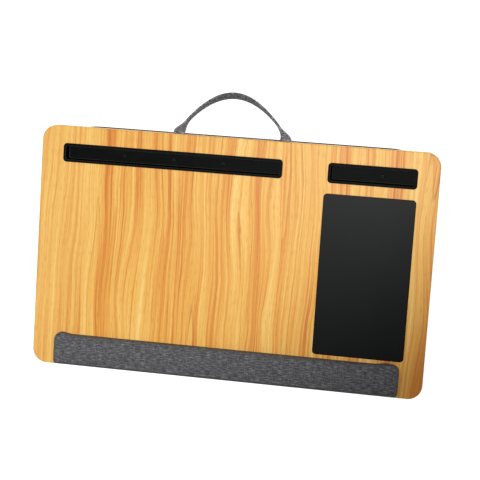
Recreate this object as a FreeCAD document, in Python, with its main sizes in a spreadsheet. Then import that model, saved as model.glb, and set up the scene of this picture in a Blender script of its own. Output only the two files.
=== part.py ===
"""Cushioned lap desk: a wood-grain board with two moulded device trays, a glued mouse pad,
a padded wrist rest and a fabric carry handle, screwed to a base panel that carries a
two-lobed fabric cushion.

Frame: millimetres, +Z up, +X to the user's right, +Y away from the user.  The origin is on
the surface that the cushion rests on, under the centre of the board.
"""
import FreeCAD, Part
import math
import os
import re

import Sketcher

Vector = FreeCAD.Vector

# Driving dimensions in millimetres (angles in degrees): alias, value.
DIMENSIONS = [
    # board
    ("board_length", 550.0),
    ("board_depth", 337.0),
    ("board_thickness", 15.0),
    ("board_corner", 20.0),
    ("board_edge_round", 1.5),
    ("board_lower_bevel", 1.0),
    # base panel and cushion
    ("cushion_height", 45.0),
    ("cushion_end_inset", 7.0),
    ("cushion_side_inset", 2.0),
    ("cushion_corner", 60.0),
    ("cushion_bottom_round", 14.0),
    ("cushion_fabric", 1.5),
    ("seam_height", 18.0),
    ("hem_width", 7.0),
    ("fill_clearance", 0.3),
    ("inner_bevel_share", 0.8),
    ("divider_thickness", 1.5),
    ("valley_depth", 15.0),
    ("valley_radius", 30.0),
    ("valley_lip_radius", 16.0),
    ("panel_thickness", 5.0),
    # device trays
    ("slot_from_rear", 36.8),
    ("tablet_tray_length", 307.0),
    ("tablet_tray_width", 26.0),
    ("tablet_tray_from_left", 31.0),
    ("phone_tray_length", 120.8),
    ("phone_tray_width", 27.6),
    ("phone_tray_from_right", 29.4),
    ("tray_corner", 5.0),
    ("tray_rim_width", 3.3),
    ("tray_rim_height", 1.2),
    ("tray_rim_round", 0.8),
    ("tray_wall", 1.6),
    ("tray_floor", 1.8),
    ("tray_floor_round", 1.2),
    ("tray_draft", 6.0),
    ("tray_fit", 0.4),
    ("tray_screw_spacing", 69.5),
    ("phone_screw_offset", 12.3),
    # mouse pad
    ("pad_width", 125.0),
    ("pad_thickness", 1.2),
    ("pad_corner", 5.0),
    ("pad_edge_bevel", 0.4),
    ("pad_from_right", 28.7),
    ("pad_to_tray", 14.35),
    ("pad_to_rest", 4.7),
    # wrist rest
    ("rest_length", 484.0),
    ("rest_depth", 43.7),
    ("rest_height", 15.0),
    ("rest_corner", 7.0),
    ("rest_top_round", 5.5),
    ("rest_from_front", 2.0),
    ("rest_fabric", 1.0),
    ("rest_hem_width", 6.0),
    ("rest_strip_thickness", 1.5),
    ("rest_clearance", 0.3),
    # carry handle
    ("strap_width", 16.0),
    ("strap_thickness", 3.0),
    ("handle_span", 148.2),
    ("handle_reach", 55.2),
    ("handle_shift", 11.7),
    ("handle_root", 3.0),
    ("handle_shoulder", 0.13),
    ("handle_leg_roll", 78.0),
    ("handle_apex_roll", 56.0),
    ("handle_roll_run", 30.0),
    ("tail_length", 21.5),
    ("tail_overhang", 0.5),
    ("tail_gap", 0.3),
    ("tail_side_clearance", 0.3),
    ("tail_screw_from_end", 4.8),
    # fasteners
    ("screw_diameter", 3.5),
    ("screw_point", 1.5),
    ("panel_screw_reach", 4.2),
    ("pan_head_diameter", 6.4),
    ("pan_head_height", 2.0),
    ("pan_head_round", 1.2),
    ("flat_head_diameter", 8.0),
    ("flat_head_rim", 0.3),
    ("flat_head_sink", 0.2),
    ("clearance_hole", 3.9),
    ("front_screw_spacing", 130.0),
    ("pad_screw_spacing", 140.0),
    ("tail_screw_diameter", 3.0),
    ("tail_screw_reach", 5.0),
    ("tail_head_height", 1.8),
    ("washer_diameter", 9.0),
    ("washer_thickness", 0.8),
    ("washer_recess_clearance", 0.7),
]

# Levels and places that several pieces share, as formulas on the aliases above.
PANEL_TOP = "(cushion_height + panel_thickness)"
BOARD_TOP = "(cushion_height + panel_thickness + board_thickness)"
SLOT_Y = "(board_depth / 2 - slot_from_rear)"
TABLET_X = "(-board_length / 2 + tablet_tray_from_left + tablet_tray_length / 2)"
PHONE_X = "(board_length / 2 - phone_tray_from_right - phone_tray_length / 2)"
PAD_X = "(board_length / 2 - pad_from_right - pad_width / 2)"
REST_Y = "(-board_depth / 2 + rest_from_front + rest_depth / 2)"
PAD_REAR_Y = f"({SLOT_Y} - phone_tray_width / 2 - pad_to_tray)"
PAD_FRONT_Y = f"({REST_Y} + rest_depth / 2 + pad_to_rest)"
PAD_Y = f"(({PAD_REAR_Y} + {PAD_FRONT_Y}) / 2)"
TAIL_REAR_Y = "(board_depth / 2 + tail_overhang)"
TAIL_Y = f"({TAIL_REAR_Y} - tail_length / 2)"
TAIL_SCREW_Y = f"({TAIL_REAR_Y} - tail_length + tail_screw_from_end)"
PIVOT_Y = f"({TAIL_REAR_Y} + tail_gap + strap_thickness / 2)"
PIVOT_Z = f"({PANEL_TOP} + strap_thickness / 2)"
CUSHION_LENGTH = "(board_length - 2 * cushion_end_inset)"
CUSHION_DEPTH = "(board_depth - 2 * cushion_side_inset)"
SLOT_SCREW_Z = f"({PANEL_TOP} + tray_floor)"
TRAYS = {
    "tablet": ("tablet_tray_length", "tablet_tray_width", TABLET_X),
    "phone": ("phone_tray_length", "phone_tray_width", PHONE_X),
}
SIDES = {"left": -1, "right": 1}

# Screw rows: the x and y of each screw, in a line along X or along Y.
TABLET_SCREWS = [(f"{TABLET_X} {step} tray_screw_spacing", SLOT_Y) for step in ("-", "+ 0 *", "+")]
PHONE_SCREWS = [(f"{PHONE_X} + phone_screw_offset", SLOT_Y)]
FRONT_SCREWS = [(f"{step} * front_screw_spacing / 2", REST_Y) for step in ("-3", "-1", "1", "3")]
PAD_SCREWS = [(PAD_X, f"{PAD_Y} {step} pad_screw_spacing / 2") for step in "-+"]
TAIL_SCREWS = [(f"-handle_shift {step} handle_span / 2", TAIL_SCREW_Y) for step in "-+"]

document = FreeCAD.newDocument("LapDesk")
sheet = document.addObject("Spreadsheet::Sheet", "Sizes")
sub_parts = []


def fill_sheet():
    """Write the driving dimensions to the sheet, one named cell each."""
    for row, (alias, value) in enumerate(DIMENSIONS, start=1):
        sheet.set(f"A{row}", alias)
        sheet.set(f"B{row}", str(value))
        sheet.setAlias(f"B{row}", alias)
    document.recompute()


def formula(text):
    """Turn a formula on aliases into an expression on the sheet's cells."""
    aliases = "|".join(alias for alias, _ in DIMENSIONS)
    return re.sub(rf"\b({aliases})\b", r"Sizes.\1", text)


def bind(item, **sizes):
    """Tie properties of an object to formulas on the sheet."""
    for name, text in sizes.items():
        item.setExpression(name, formula(text))


def bind_place(item, path, x="0", y="0", z="0"):
    """Tie a placement's base to formulas on the sheet."""
    for axis, text in zip("xyz", (x, y, z)):
        item.setExpression(f"{path}.Base.{axis}", formula(text))


def register(item, label):
    """Give a finished sub-part its label and keep it for the export."""
    item.Label = label
    sub_parts.append(item)
    return item


# ---------------------------------------------------------------- bodies and features

def new_body(name, several_solids=False):
    body = document.addObject("PartDesign::Body", name)
    body.AllowCompound = several_solids
    return body


def origin_feature(body, role):
    return next(item for item in body.Origin.OriginFeatures if item.Role == role)


def new_sketch(body, plane, x="0", y="0", z="0"):
    """A sketch on one of the body's own origin planes, moved in that plane's frame."""
    sketch = body.newObject("Sketcher::SketchObject", f"{body.Name}_sketch")
    sketch.AttachmentSupport = (origin_feature(body, plane), [""])
    sketch.MapMode = "FlatFace"
    bind_place(sketch, "AttachmentOffset", x, y, z)
    return sketch


def size_constraint(sketch, kind, *details, text):
    """Add a dimension to a sketch and tie it to a formula."""
    index = sketch.addConstraint(Sketcher.Constraint(kind, *details))
    name = f"size_{index}"
    sketch.renameConstraint(index, name)
    sketch.setExpression(f"Constraints.{name}", formula(text))


def round_rectangle(body, length, width, corner, x="0", y="0", z="0"):
    """A rectangle with rounded corners, centred on the sketch's own origin."""
    sketch = new_sketch(body, "XY_Plane", x, y, z)
    half_length, half_width, radius = 50.0, 25.0, 5.0     # a start that the solver moves
    for quarter in range(4):
        along = half_length if quarter % 2 == 0 else half_width
        across = half_width if quarter % 2 == 0 else half_length
        turn = FreeCAD.Rotation(Vector(0, 0, 1), 90.0 * quarter)
        start = turn.multVec(Vector(-along + radius, -across, 0))
        end = turn.multVec(Vector(along - radius, -across, 0))
        centre = turn.multVec(Vector(along - radius, -across + radius, 0))
        sketch.addGeometry(Part.LineSegment(start, end))
        circle = Part.Circle(centre, Vector(0, 0, 1), radius)
        angle = math.radians(90.0 * (quarter - 1))
        sketch.addGeometry(Part.ArcOfCircle(circle, angle, angle + math.pi / 2))
    for piece in range(8):
        sketch.addConstraint(Sketcher.Constraint("Tangent", piece, 2, (piece + 1) % 8, 1))
    for line, direction in ((0, "Horizontal"), (2, "Vertical"), (4, "Horizontal"), (6, "Vertical")):
        sketch.addConstraint(Sketcher.Constraint(direction, line))
    for arc in (3, 5, 7):
        sketch.addConstraint(Sketcher.Constraint("Equal", 1, arc))
    sketch.addConstraint(Sketcher.Constraint("Symmetric", 0, 1, 4, 1, -1, 1))
    size_constraint(sketch, "DistanceX", 6, 1, 2, 1, 2 * half_length, text=length)
    size_constraint(sketch, "DistanceY", 0, 1, 4, 1, 2 * half_width, text=width)
    size_constraint(sketch, "Radius", 1, radius, text=corner)
    return sketch


def circle_row(body, row, diameter, z):
    """One circle for each screw of a row."""
    sketch = new_sketch(body, "XY_Plane", z=z)
    for index, (x, y) in enumerate(row):
        sketch.addGeometry(Part.Circle(Vector(index, 0, 0), Vector(0, 0, 1), 1.0))
        size_constraint(sketch, "DistanceX", -1, 1, index, 3, 1.0, text=x)
        size_constraint(sketch, "DistanceY", -1, 1, index, 3, 1.0, text=y)
        if index == 0:
            size_constraint(sketch, "Diameter", 0, 2.0, text=diameter)
        else:
            sketch.addConstraint(Sketcher.Constraint("Equal", 0, index))
    return sketch


def pad(body, sketch, length, down=False, draft="0"):
    feature = body.newObject("PartDesign::Pad", f"{body.Name}_pad")
    feature.Profile = sketch
    feature.Reversed = down
    bind(feature, Length=length, TaperAngle=draft)
    document.recompute()
    return feature


def pocket(body, sketch, length, up=False, draft="0"):
    """A cut that goes down from its sketch, or up when it starts from below."""
    volume = body.Shape.Volume
    feature = body.newObject("PartDesign::Pocket", f"{body.Name}_pocket")
    feature.Profile = sketch
    feature.Reversed = up
    bind(feature, Length=length, TaperAngle=draft)
    document.recompute()
    if body.Shape.Volume >= volume:
        raise RuntimeError(f"{feature.Name} cuts nothing")
    return feature


def edge_feature(body, kind, chooser):
    """A fillet or chamfer on the edges of the body's tip that the chooser accepts."""
    base = body.Tip
    edges = [f"Edge{number}" for number, edge in enumerate(base.Shape.Edges, start=1)
             if chooser(edge)]
    feature = body.newObject(f"PartDesign::{kind}", f"{body.Name}_{kind.lower()}")
    feature.Base = (base, edges)
    return feature


def fillet(body, chooser, radius):
    bind(edge_feature(body, "Fillet", chooser), Radius=radius)
    document.recompute()


def bevel(body, chooser, leg):
    bind(edge_feature(body, "Chamfer", chooser), Size=leg)
    document.recompute()


def boolean(kind, name, base, tool):
    feature = document.addObject(kind, name)
    feature.Base = base
    feature.Tool = tool
    document.recompute()
    return feature


def level_edges(z):
    """A chooser for the edges that lie flat at a height."""
    def choose(edge):
        box = edge.BoundBox
        return abs(box.ZMin - z) < 1e-4 and abs(box.ZMax - z) < 1e-4
    return choose


def size(alias):
    return float(sheet.get(alias))


# ---------------------------------------------------------------- board

def make_board():
    """The top board: tray cut-outs, countersunk holes and pockets for the handle's tails."""
    body = new_body("board")
    outline = round_rectangle(body, "board_length", "board_depth", "board_corner", z=PANEL_TOP)
    pad(body, outline, "board_thickness")
    panel_top = size("cushion_height") + size("panel_thickness")
    board_top = panel_top + size("board_thickness")
    fillet(body, level_edges(board_top), "board_edge_round")
    bevel(body, level_edges(panel_top), "board_lower_bevel")
    for length, width, x in TRAYS.values():
        shrink = "2 * (tray_rim_width - tray_wall - tray_fit)"
        corner = "(tray_corner - tray_rim_width + tray_wall + tray_fit)"
        cut = round_rectangle(body, f"{length} - {shrink}", f"{width} - {shrink}", corner,
                              x, SLOT_Y, BOARD_TOP)
        pocket(body, cut, "board_thickness")
    for side in SIDES.values():
        recess = round_rectangle(
            body, "strap_width + 2 * tail_side_clearance", "2 * tail_length",
            "strap_thickness / 2", f"-handle_shift + {side} * handle_span / 2",
            f"{TAIL_REAR_Y} - tail_side_clearance", PANEL_TOP)
        pocket(body, recess, "strap_thickness", up=True)
    pilots = circle_row(body, TAIL_SCREWS, "tail_screw_diameter", PANEL_TOP)
    pocket(body, pilots, "strap_thickness + tail_screw_reach + screw_point", up=True)
    for row in (FRONT_SCREWS, PAD_SCREWS):
        countersunk_holes(body, row)
    register(body, "board")


def countersunk_holes(body, row):
    """Through holes with a conical seat that leaves each flat head just below the face."""
    centres = circle_row(body, row, "clearance_hole", BOARD_TOP)
    document.recompute()
    hole = body.newObject("PartDesign::Hole", "countersunk_holes")
    hole.Profile = centres
    hole.DepthType = "ThroughAll"
    hole.HoleCutType = "Countersink"
    hole.HoleCutCountersinkAngle = 90.0
    bind(hole, Diameter="clearance_hole",
         HoleCutDiameter="flat_head_diameter + 2 * (flat_head_sink + flat_head_rim)")
    document.recompute()


# ---------------------------------------------------------------- device trays

def make_tray(name):
    """A moulded tub: rounded rim on the board's face, drafted walls, floor on the panel."""
    length, width, x = TRAYS[name]
    body = new_body(f"{name}_tray")
    flange = round_rectangle(body, length, width, "tray_corner", x, SLOT_Y, BOARD_TOP)
    pad(body, flange, "tray_rim_height")
    inset = "(tray_rim_width - tray_wall)"
    tub = round_rectangle(body, f"{length} - 2 * {inset}", f"{width} - 2 * {inset}",
                          f"tray_corner - {inset}", x, SLOT_Y, BOARD_TOP)
    pad(body, tub, "board_thickness", down=True, draft="-tray_draft")
    mouth = round_rectangle(body, f"{length} - 2 * tray_rim_width", f"{width} - 2 * tray_rim_width",
                            "tray_corner - tray_rim_width + tray_wall", x, SLOT_Y,
                            f"{BOARD_TOP} + tray_rim_height")
    pocket(body, mouth, "board_thickness + tray_rim_height - tray_floor", draft="-tray_draft")
    panel_top = size("cushion_height") + size("panel_thickness")
    rim_top = panel_top + size("board_thickness") + size("tray_rim_height")
    fillet(body, level_edges(rim_top), "tray_rim_round")
    fillet(body, level_edges(panel_top + size("tray_floor")), "tray_floor_round")
    row = TABLET_SCREWS if name == "tablet" else PHONE_SCREWS
    holes = circle_row(body, row, "clearance_hole", SLOT_SCREW_Z)
    pocket(body, holes, "tray_floor")
    register(body, f"{name}_tray")


# ---------------------------------------------------------------- mouse pad

def make_mouse_pad():
    body = new_body("mouse_pad")
    sheet_outline = round_rectangle(body, "pad_width", f"{PAD_REAR_Y} - {PAD_FRONT_Y}",
                                    "pad_corner", PAD_X, PAD_Y, BOARD_TOP)
    pad(body, sheet_outline, "pad_thickness")
    board_top = size("cushion_height") + size("panel_thickness") + size("board_thickness")
    bevel(body, level_edges(board_top + size("pad_thickness")), "pad_edge_bevel")
    register(body, "mouse_pad")


# ---------------------------------------------------------------- wrist rest

def rest_outline(body, inset, z):
    return round_rectangle(body, f"rest_length - 2 * ({inset})", f"rest_depth - 2 * ({inset})",
                           f"rest_corner - ({inset})", "0", REST_Y, z)


def rest_form(name, inset, z, height, top):
    """A bar on the board's front with rounded ends.  Its top edge is rounded outside, and
    follows that round with a bevel inside."""
    body = new_body(name)
    pad(body, rest_outline(body, inset, z), height)
    if inset == "0":
        fillet(body, level_edges(top), "rest_top_round")
    else:
        bevel(body, level_edges(top), f"inner_bevel_share * (rest_top_round - ({inset}))")
    return body


def make_wrist_rest():
    """Tape on the board, a stiff strip on it, foam on the strip and a fabric cover round
    all of it, with its hem turned under the strip."""
    strip_bottom = f"{BOARD_TOP} + rest_fabric"
    inside = "rest_fabric + rest_clearance"
    top = (size("cushion_height") + size("panel_thickness") + size("board_thickness")
           + size("rest_height"))

    shell = rest_form("rest_outer_form", "0", BOARD_TOP, "rest_height", top)
    window = round_rectangle(shell, "rest_length - 2 * rest_hem_width",
                             "rest_depth - 2 * rest_hem_width", "rest_corner / 2",
                             "0", REST_Y, BOARD_TOP)
    pocket(shell, window, "rest_fabric", up=True)
    hollow = rest_form("rest_inner_form", "rest_fabric", strip_bottom,
                       "rest_height - 2 * rest_fabric", top - size("rest_fabric"))
    register(boolean("Part::Cut", "wrist_rest_cover", shell, hollow), "wrist_rest_cover")

    tape = new_body("wrist_rest_tape")
    tape_outline = round_rectangle(
        tape, "rest_length - 2 * (rest_hem_width + rest_clearance)",
        "rest_depth - 2 * (rest_hem_width + rest_clearance)", "rest_corner / 2",
        "0", REST_Y, BOARD_TOP)
    pad(tape, tape_outline, "rest_fabric")
    register(tape, "wrist_rest_tape")

    strip = new_body("wrist_rest_strip")
    pad(strip, rest_outline(strip, inside, strip_bottom), "rest_strip_thickness")
    register(strip, "wrist_rest_strip")

    foam = rest_form("wrist_rest_foam", inside, f"{strip_bottom} + rest_strip_thickness",
                     "rest_height - 2 * rest_fabric - rest_strip_thickness - rest_clearance",
                     top - size("rest_fabric") - size("rest_clearance"))
    register(foam, "wrist_rest_foam")


# ---------------------------------------------------------------- base panel and cushion

def cushion_outline(body, inset, z):
    return round_rectangle(body, f"{CUSHION_LENGTH} - 2 * ({inset})",
                           f"{CUSHION_DEPTH} - 2 * ({inset})", f"cushion_corner - ({inset})",
                           z=z)


def make_base_panel():
    """The panel under the board, with a rebate for the cover's hem and recesses for the
    washers of the handle's tails."""
    body = new_body("base_panel")
    pad(body, cushion_outline(body, "cushion_fabric", "cushion_height"),
        "panel_thickness - cushion_fabric")
    pad(body, cushion_outline(body, "cushion_fabric + hem_width",
                              f"{PANEL_TOP} - cushion_fabric"), "cushion_fabric")
    for row in (TABLET_SCREWS, PHONE_SCREWS, FRONT_SCREWS, PAD_SCREWS):
        pocket(body, circle_row(body, row, "screw_diameter", PANEL_TOP),
               "panel_screw_reach + screw_point / 2")
    recesses = circle_row(body, TAIL_SCREWS, "washer_diameter + 2 * washer_recess_clearance",
                          PANEL_TOP)
    pocket(body, recesses, "washer_thickness + tail_head_height + tail_gap")
    register(body, "base_panel")


def make_cushion_band():
    """The upright fabric band of the cushion, with its hem folded over the panel's rebate."""
    body = new_body("cushion_band")
    pad(body, cushion_outline(body, "0", "seam_height"), f"{PANEL_TOP} - seam_height")
    pocket(body, cushion_outline(body, "cushion_fabric", "seam_height"),
           f"{PANEL_TOP} - cushion_fabric - seam_height", up=True)
    pocket(body, cushion_outline(body, "cushion_fabric + hem_width", PANEL_TOP),
           "cushion_fabric")
    register(body, "cushion_band")


def valley_profile(body, inset):
    """The arched valley under the cushion, with lips that run out level with its base."""
    sketch = new_sketch(body, "XZ_Plane")
    normal = Vector(0, 0, 1)
    lip, arch, middle, centre = 16.0, 30.0, 34.0, -15.0     # a start that the solver moves
    meet = math.atan2(lip - centre, middle)
    arcs = (
        (Vector(middle, lip, 0), lip, math.pi + meet, 1.5 * math.pi),
        (Vector(0, centre, 0), arch, meet, math.pi - meet),
        (Vector(-middle, lip, 0), lip, 1.5 * math.pi, 2 * math.pi - meet),
    )
    for point, radius, first, last in arcs:
        sketch.addGeometry(Part.ArcOfCircle(Part.Circle(point, normal, radius), first, last))
    corners = (Vector(-middle, 0, 0), Vector(-middle, -5, 0), Vector(middle, -5, 0),
               Vector(middle, 0, 0))
    for start, end in zip(corners, corners[1:]):
        sketch.addGeometry(Part.LineSegment(start, end))
    rules = (
        ("Tangent", 0, 1, 1, 1), ("Tangent", 1, 2, 2, 2), ("Coincident", 2, 1, 3, 1),
        ("Coincident", 3, 2, 4, 1), ("Coincident", 4, 2, 5, 1), ("Coincident", 5, 2, 0, 2),
        ("Vertical", 3), ("Horizontal", 4), ("Vertical", 5), ("Equal", 0, 2),
        ("PointOnObject", 1, 3, -2), ("Vertical", 0, 3, 0, 2), ("Vertical", 2, 3, 2, 1),
        ("Horizontal", 0, 3, 2, 3),
    )
    for rule in rules:
        sketch.addConstraint(Sketcher.Constraint(*rule))
    size_constraint(sketch, "Radius", 0, lip, text=f"valley_lip_radius - ({inset})")
    size_constraint(sketch, "Radius", 1, arch, text=f"valley_radius + ({inset})")
    size_constraint(sketch, "DistanceY", -1, 1, 0, 3, lip, text="valley_lip_radius")
    size_constraint(sketch, "DistanceY", 1, 3, -1, 1, -centre,
                    text="valley_radius - valley_depth")
    size_constraint(sketch, "DistanceY", 4, 1, -1, 1, 5.0, text="cushion_fabric")
    return sketch


def cushion_form(name, inset, top):
    """The cushion's outer form moved inwards by an inset: a block with the valley cut from
    front to rear.  Its bottom edge is rounded outside, and follows that round with a bevel
    inside."""
    body = new_body(name)
    pad(body, cushion_outline(body, inset, inset), f"{top} - ({inset})")
    bottom = level_edges(body.Shape.BoundBox.ZMin)
    if inset == "0":
        fillet(body, bottom, "cushion_bottom_round")
    else:
        bevel(body, bottom, f"inner_bevel_share * (cushion_bottom_round - ({inset}))")
    valley = pocket(body, valley_profile(body, inset), CUSHION_DEPTH)
    valley.SideType = "Symmetric"
    document.recompute()
    return body


def slab(name, x_from, x_to):
    """A block between two X planes, larger than the cushion in Y and Z."""
    block = document.addObject("Part::Box", name)
    bind(block, Length=f"({x_to}) - ({x_from})", Width=CUSHION_DEPTH, Height="cushion_height")
    bind_place(block, "Placement", x_from, f"-{CUSHION_DEPTH} / 2", "0")
    return block


def make_cushion():
    """A lower cover for each lobe, sewn along the middle to a dividing wall, and the fills."""
    outer = cushion_form("cushion_outer_form", "0", "seam_height")
    inner = cushion_form("cushion_inner_form", "cushion_fabric", "cushion_height")
    shell = boolean("Part::Cut", "cushion_shell", outer, inner)
    fill = cushion_form("cushion_fill_form", "cushion_fabric + fill_clearance", "cushion_height")
    wall = "(divider_thickness / 2)"
    middle = slab("divider_slab", f"-{wall}", wall)
    register(boolean("Part::Common", "cushion_divider", inner, middle), "cushion_divider")
    fill_side = f"({wall} + fill_clearance)"
    spans = {"left": (f"-{CUSHION_LENGTH} / 2", "0", f"-{fill_side}"),
             "right": ("0", f"{CUSHION_LENGTH} / 2", fill_side)}
    for name, (x_from, x_to, side) in spans.items():
        half = slab(f"{name}_cover_slab", x_from, x_to)
        register(boolean("Part::Common", f"{name}_base_cover", shell, half),
                 f"{name}_base_cover")
        room = (x_from, side) if name == "left" else (side, x_to)
        register(boolean("Part::Common", f"{name}_fill", fill, slab(f"{name}_fill_slab", *room)),
                 f"{name}_fill")


# ---------------------------------------------------------------- carry handle

def make_handle_tails():
    """The strap's two tails, clamped between the board and the base panel."""
    for name, side in SIDES.items():
        body = new_body(f"{name}_handle_tail")
        strap = round_rectangle(body, "strap_width", "tail_length", "strap_thickness / 3",
                                f"-handle_shift + {side} * handle_span / 2", TAIL_Y, PANEL_TOP)
        pad(body, strap, "strap_thickness")
        screw = TAIL_SCREWS[0] if side < 0 else TAIL_SCREWS[1]
        hole = circle_row(body, [screw], "tail_screw_diameter", PANEL_TOP)
        pocket(body, hole, "strap_thickness", up=True)
        register(body, f"{name}_handle_tail")


def strap_section(angle):
    """The strap's cross-section at an angle round its arch, from 0 at the left root to pi.

    The centre line is an ellipse drawn in at its shoulders by a third harmonic k:
    x = -a cos(angle), y = b (sin(angle) - k sin(3 angle)) / (1 + k).  The strap leaves each
    root flat, rolls up to a steep lean on the legs and eases at the apex.
    """
    half_span = size("handle_span") / 2
    harmonic = size("handle_shoulder")
    rise = (size("handle_reach") - size("handle_root")) / (1 + harmonic)
    sine, cosine = math.sin(angle), math.cos(angle)
    height = rise * (sine - harmonic * math.sin(3 * angle))
    centre = Vector(-half_span * cosine, size("handle_root") + height, 0)
    along = Vector(half_span * sine, rise * (cosine - 3 * harmonic * math.cos(3 * angle)), 0)
    along.normalize()
    outward = Vector(-along.y, along.x, 0)
    up = Vector(0, 0, 1)
    leg, apex = size("handle_leg_roll"), size("handle_apex_roll")
    run = min(1.0, min(angle, math.pi - angle) / math.radians(size("handle_roll_run")))
    roll = math.radians(leg * math.sin(run * math.pi / 2) - (leg - apex) * sine ** 6)
    across = outward * math.cos(roll) + up * math.sin(roll)
    through = along.cross(across)
    half_width = across * (size("strap_width") / 2)
    half_thick = through * (size("strap_thickness") / 2)
    corners = [centre - half_width - half_thick, centre + half_width - half_thick,
               centre + half_width + half_thick, centre - half_width + half_thick]
    return Part.makePolygon(corners + corners[:1])


def strap_root(side):
    """The flat start of the loop, its end rounded about the fold line along X."""
    width, thick = size("strap_width"), size("strap_thickness")
    left = side * size("handle_span") / 2 - width / 2
    rounded = Part.makeCylinder(thick / 2, width, Vector(left, 0, 0), Vector(1, 0, 0))
    flat = Part.makeBox(width, size("handle_root"), thick, Vector(left, 0, -thick / 2))
    return rounded.fuse(flat).removeSplitter()


def make_handle_strap():
    """The handle's loop: a twisted ribbon lofted round its arch between two flat roots that
    turn against the tails."""
    stations = 28
    sections = [strap_section(math.pi * step / stations) for step in range(stations + 1)]
    ribbon = Part.makeLoft(sections, True, False)
    loop = ribbon.fuse([strap_root(side) for side in SIDES.values()]).removeSplitter()
    strap = document.addObject("Part::Feature", "handle_strap")
    strap.Shape = loop
    bind_place(strap, "Placement", "-handle_shift", PIVOT_Y, PIVOT_Z)
    register(strap, "handle_strap")


# ---------------------------------------------------------------- fasteners

def turned_row(name, row, points, z, upward=False):
    """A row of turned pieces: a half profile of radius and height formulas, spun round its
    axis and repeated along the row."""
    (first_x, first_y), (last_x, last_y) = row[0], row[-1]
    body = new_body(name, several_solids=len(row) > 1)
    sketch = new_sketch(body, "XZ_Plane", first_x, z, f"-({first_y})")
    sign = 1 if upward else -1
    starts = [Vector(2.0 + index, sign * 3.0 * index, 0) for index in range(len(points))]
    for index, start in enumerate(starts):
        sketch.addGeometry(Part.LineSegment(start, starts[(index + 1) % len(starts)]))
    for index in range(len(points)):
        following = (index + 1) % len(points)
        sketch.addConstraint(Sketcher.Constraint("Coincident", index, 2, following, 1))
    for index, (radius, height) in enumerate(points):
        place_point(sketch, index, "DistanceX", "PointOnObject", -2, radius)
        place_point(sketch, index, "DistanceY", "PointOnObject", -1, height)
    turned = body.newObject("PartDesign::Revolution", f"{name}_turned")
    turned.Profile = sketch
    turned.ReferenceAxis = (sketch, ["V_Axis"])
    turned.Angle = 360.0
    document.recompute()
    if len(row) > 1:
        repeat = body.newObject("PartDesign::LinearPattern", f"{name}_row")
        repeat.Originals = [turned]
        role = "X_Axis" if first_y == last_y else "Y_Axis"
        repeat.Direction = (origin_feature(body, role), [""])
        repeat.Occurrences = len(row)
        bind(repeat, Length=f"({last_x}) - ({first_x}) + ({last_y}) - ({first_y})")
        body.Tip = repeat
        document.recompute()
    register(body, name)


def place_point(sketch, index, distance, on_axis, axis, text):
    """Fix one coordinate of a profile's point, on the axis where the formula is zero."""
    if text == "0":
        sketch.addConstraint(Sketcher.Constraint(on_axis, index, 1, axis))
    else:
        size_constraint(sketch, distance, -1, 1, index, 1, 1.0, text=text)


def make_screws():
    """Pan-head screws in the trays, flat-head screws under the pad and wrist rest, and the
    short screws and washers that hold the handle's tails."""
    shank = "screw_diameter / 2"
    pan_reach = "(tray_floor + panel_screw_reach)"
    pan = [("0", "pan_head_height"),
           ("pan_head_diameter / 2 - pan_head_round", "pan_head_height"),
           ("pan_head_diameter / 2", "pan_head_height - pan_head_round"),
           ("pan_head_diameter / 2", "0"), (shank, "0"),
           (shank, f"screw_point - {pan_reach}"), ("0", f"-{pan_reach}")]
    turned_row("tablet_tray_screws", TABLET_SCREWS, pan, SLOT_SCREW_Z)
    turned_row("phone_tray_screw", PHONE_SCREWS, pan, SLOT_SCREW_Z)

    flat_reach = "(board_thickness + panel_screw_reach)"
    cone = "(flat_head_sink + flat_head_rim + (flat_head_diameter - screw_diameter) / 2)"
    flat = [("0", "-flat_head_sink"), ("flat_head_diameter / 2", "-flat_head_sink"),
            ("flat_head_diameter / 2", "-(flat_head_sink + flat_head_rim)"),
            (shank, f"-{cone}"), (shank, f"screw_point - {flat_reach}"), ("0", f"-{flat_reach}")]
    turned_row("front_panel_screws", FRONT_SCREWS, flat, BOARD_TOP)
    turned_row("pad_panel_screws", PAD_SCREWS, flat, BOARD_TOP)

    tail_shank = "tail_screw_diameter / 2"
    tail_reach = "(strap_thickness + tail_screw_reach)"
    tail = [("0", "-(washer_thickness + tail_head_height)"),
            ("washer_diameter / 3", "-(washer_thickness + tail_head_height)"),
            ("washer_diameter / 3", "-washer_thickness"), (tail_shank, "-washer_thickness"),
            (tail_shank, f"{tail_reach} - screw_point"), ("0", tail_reach)]
    turned_row("handle_tail_screws", TAIL_SCREWS, tail, PANEL_TOP, upward=True)
    washer = [(tail_shank, "0"), ("washer_diameter / 2", "0"),
              ("washer_diameter / 2", "-washer_thickness"), (tail_shank, "-washer_thickness")]
    turned_row("handle_tail_washers", TAIL_SCREWS, washer, PANEL_TOP)


# ---------------------------------------------------------------- build, test and write

def check_model():
    """Stop on any failed object or bad sub-part before a file is written."""
    for item in document.Objects:
        if "Invalid" in item.State or "Error" in item.State:
            raise RuntimeError(f"{item.Name} failed: {item.State}")
    for item in sub_parts:
        if item.Shape.isNull() or not item.Shape.isValid() or not item.Shape.Solids:
            raise RuntimeError(f"{item.Label} is not a valid solid")


def write_parts():
    os.makedirs("parts", exist_ok=True)
    for item in sub_parts:
        item.Shape.exportStep(f"parts/{item.Label}.step")
        box = item.Shape.BoundBox
        print(f"{item.Label:22s} solids {len(item.Shape.Solids)}  "
              f"volume {item.Shape.Volume:12.1f}  x {box.XMin:8.2f} {box.XMax:8.2f}  "
              f"y {box.YMin:8.2f} {box.YMax:8.2f}  z {box.ZMin:7.2f} {box.ZMax:7.2f}")


fill_sheet()
make_board()
make_tray("tablet")
make_tray("phone")
make_mouse_pad()
make_wrist_rest()
make_base_panel()
make_cushion_band()
make_cushion()
make_handle_tails()
make_handle_strap()
make_screws()
document.recompute()
check_model()
write_parts()
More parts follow.
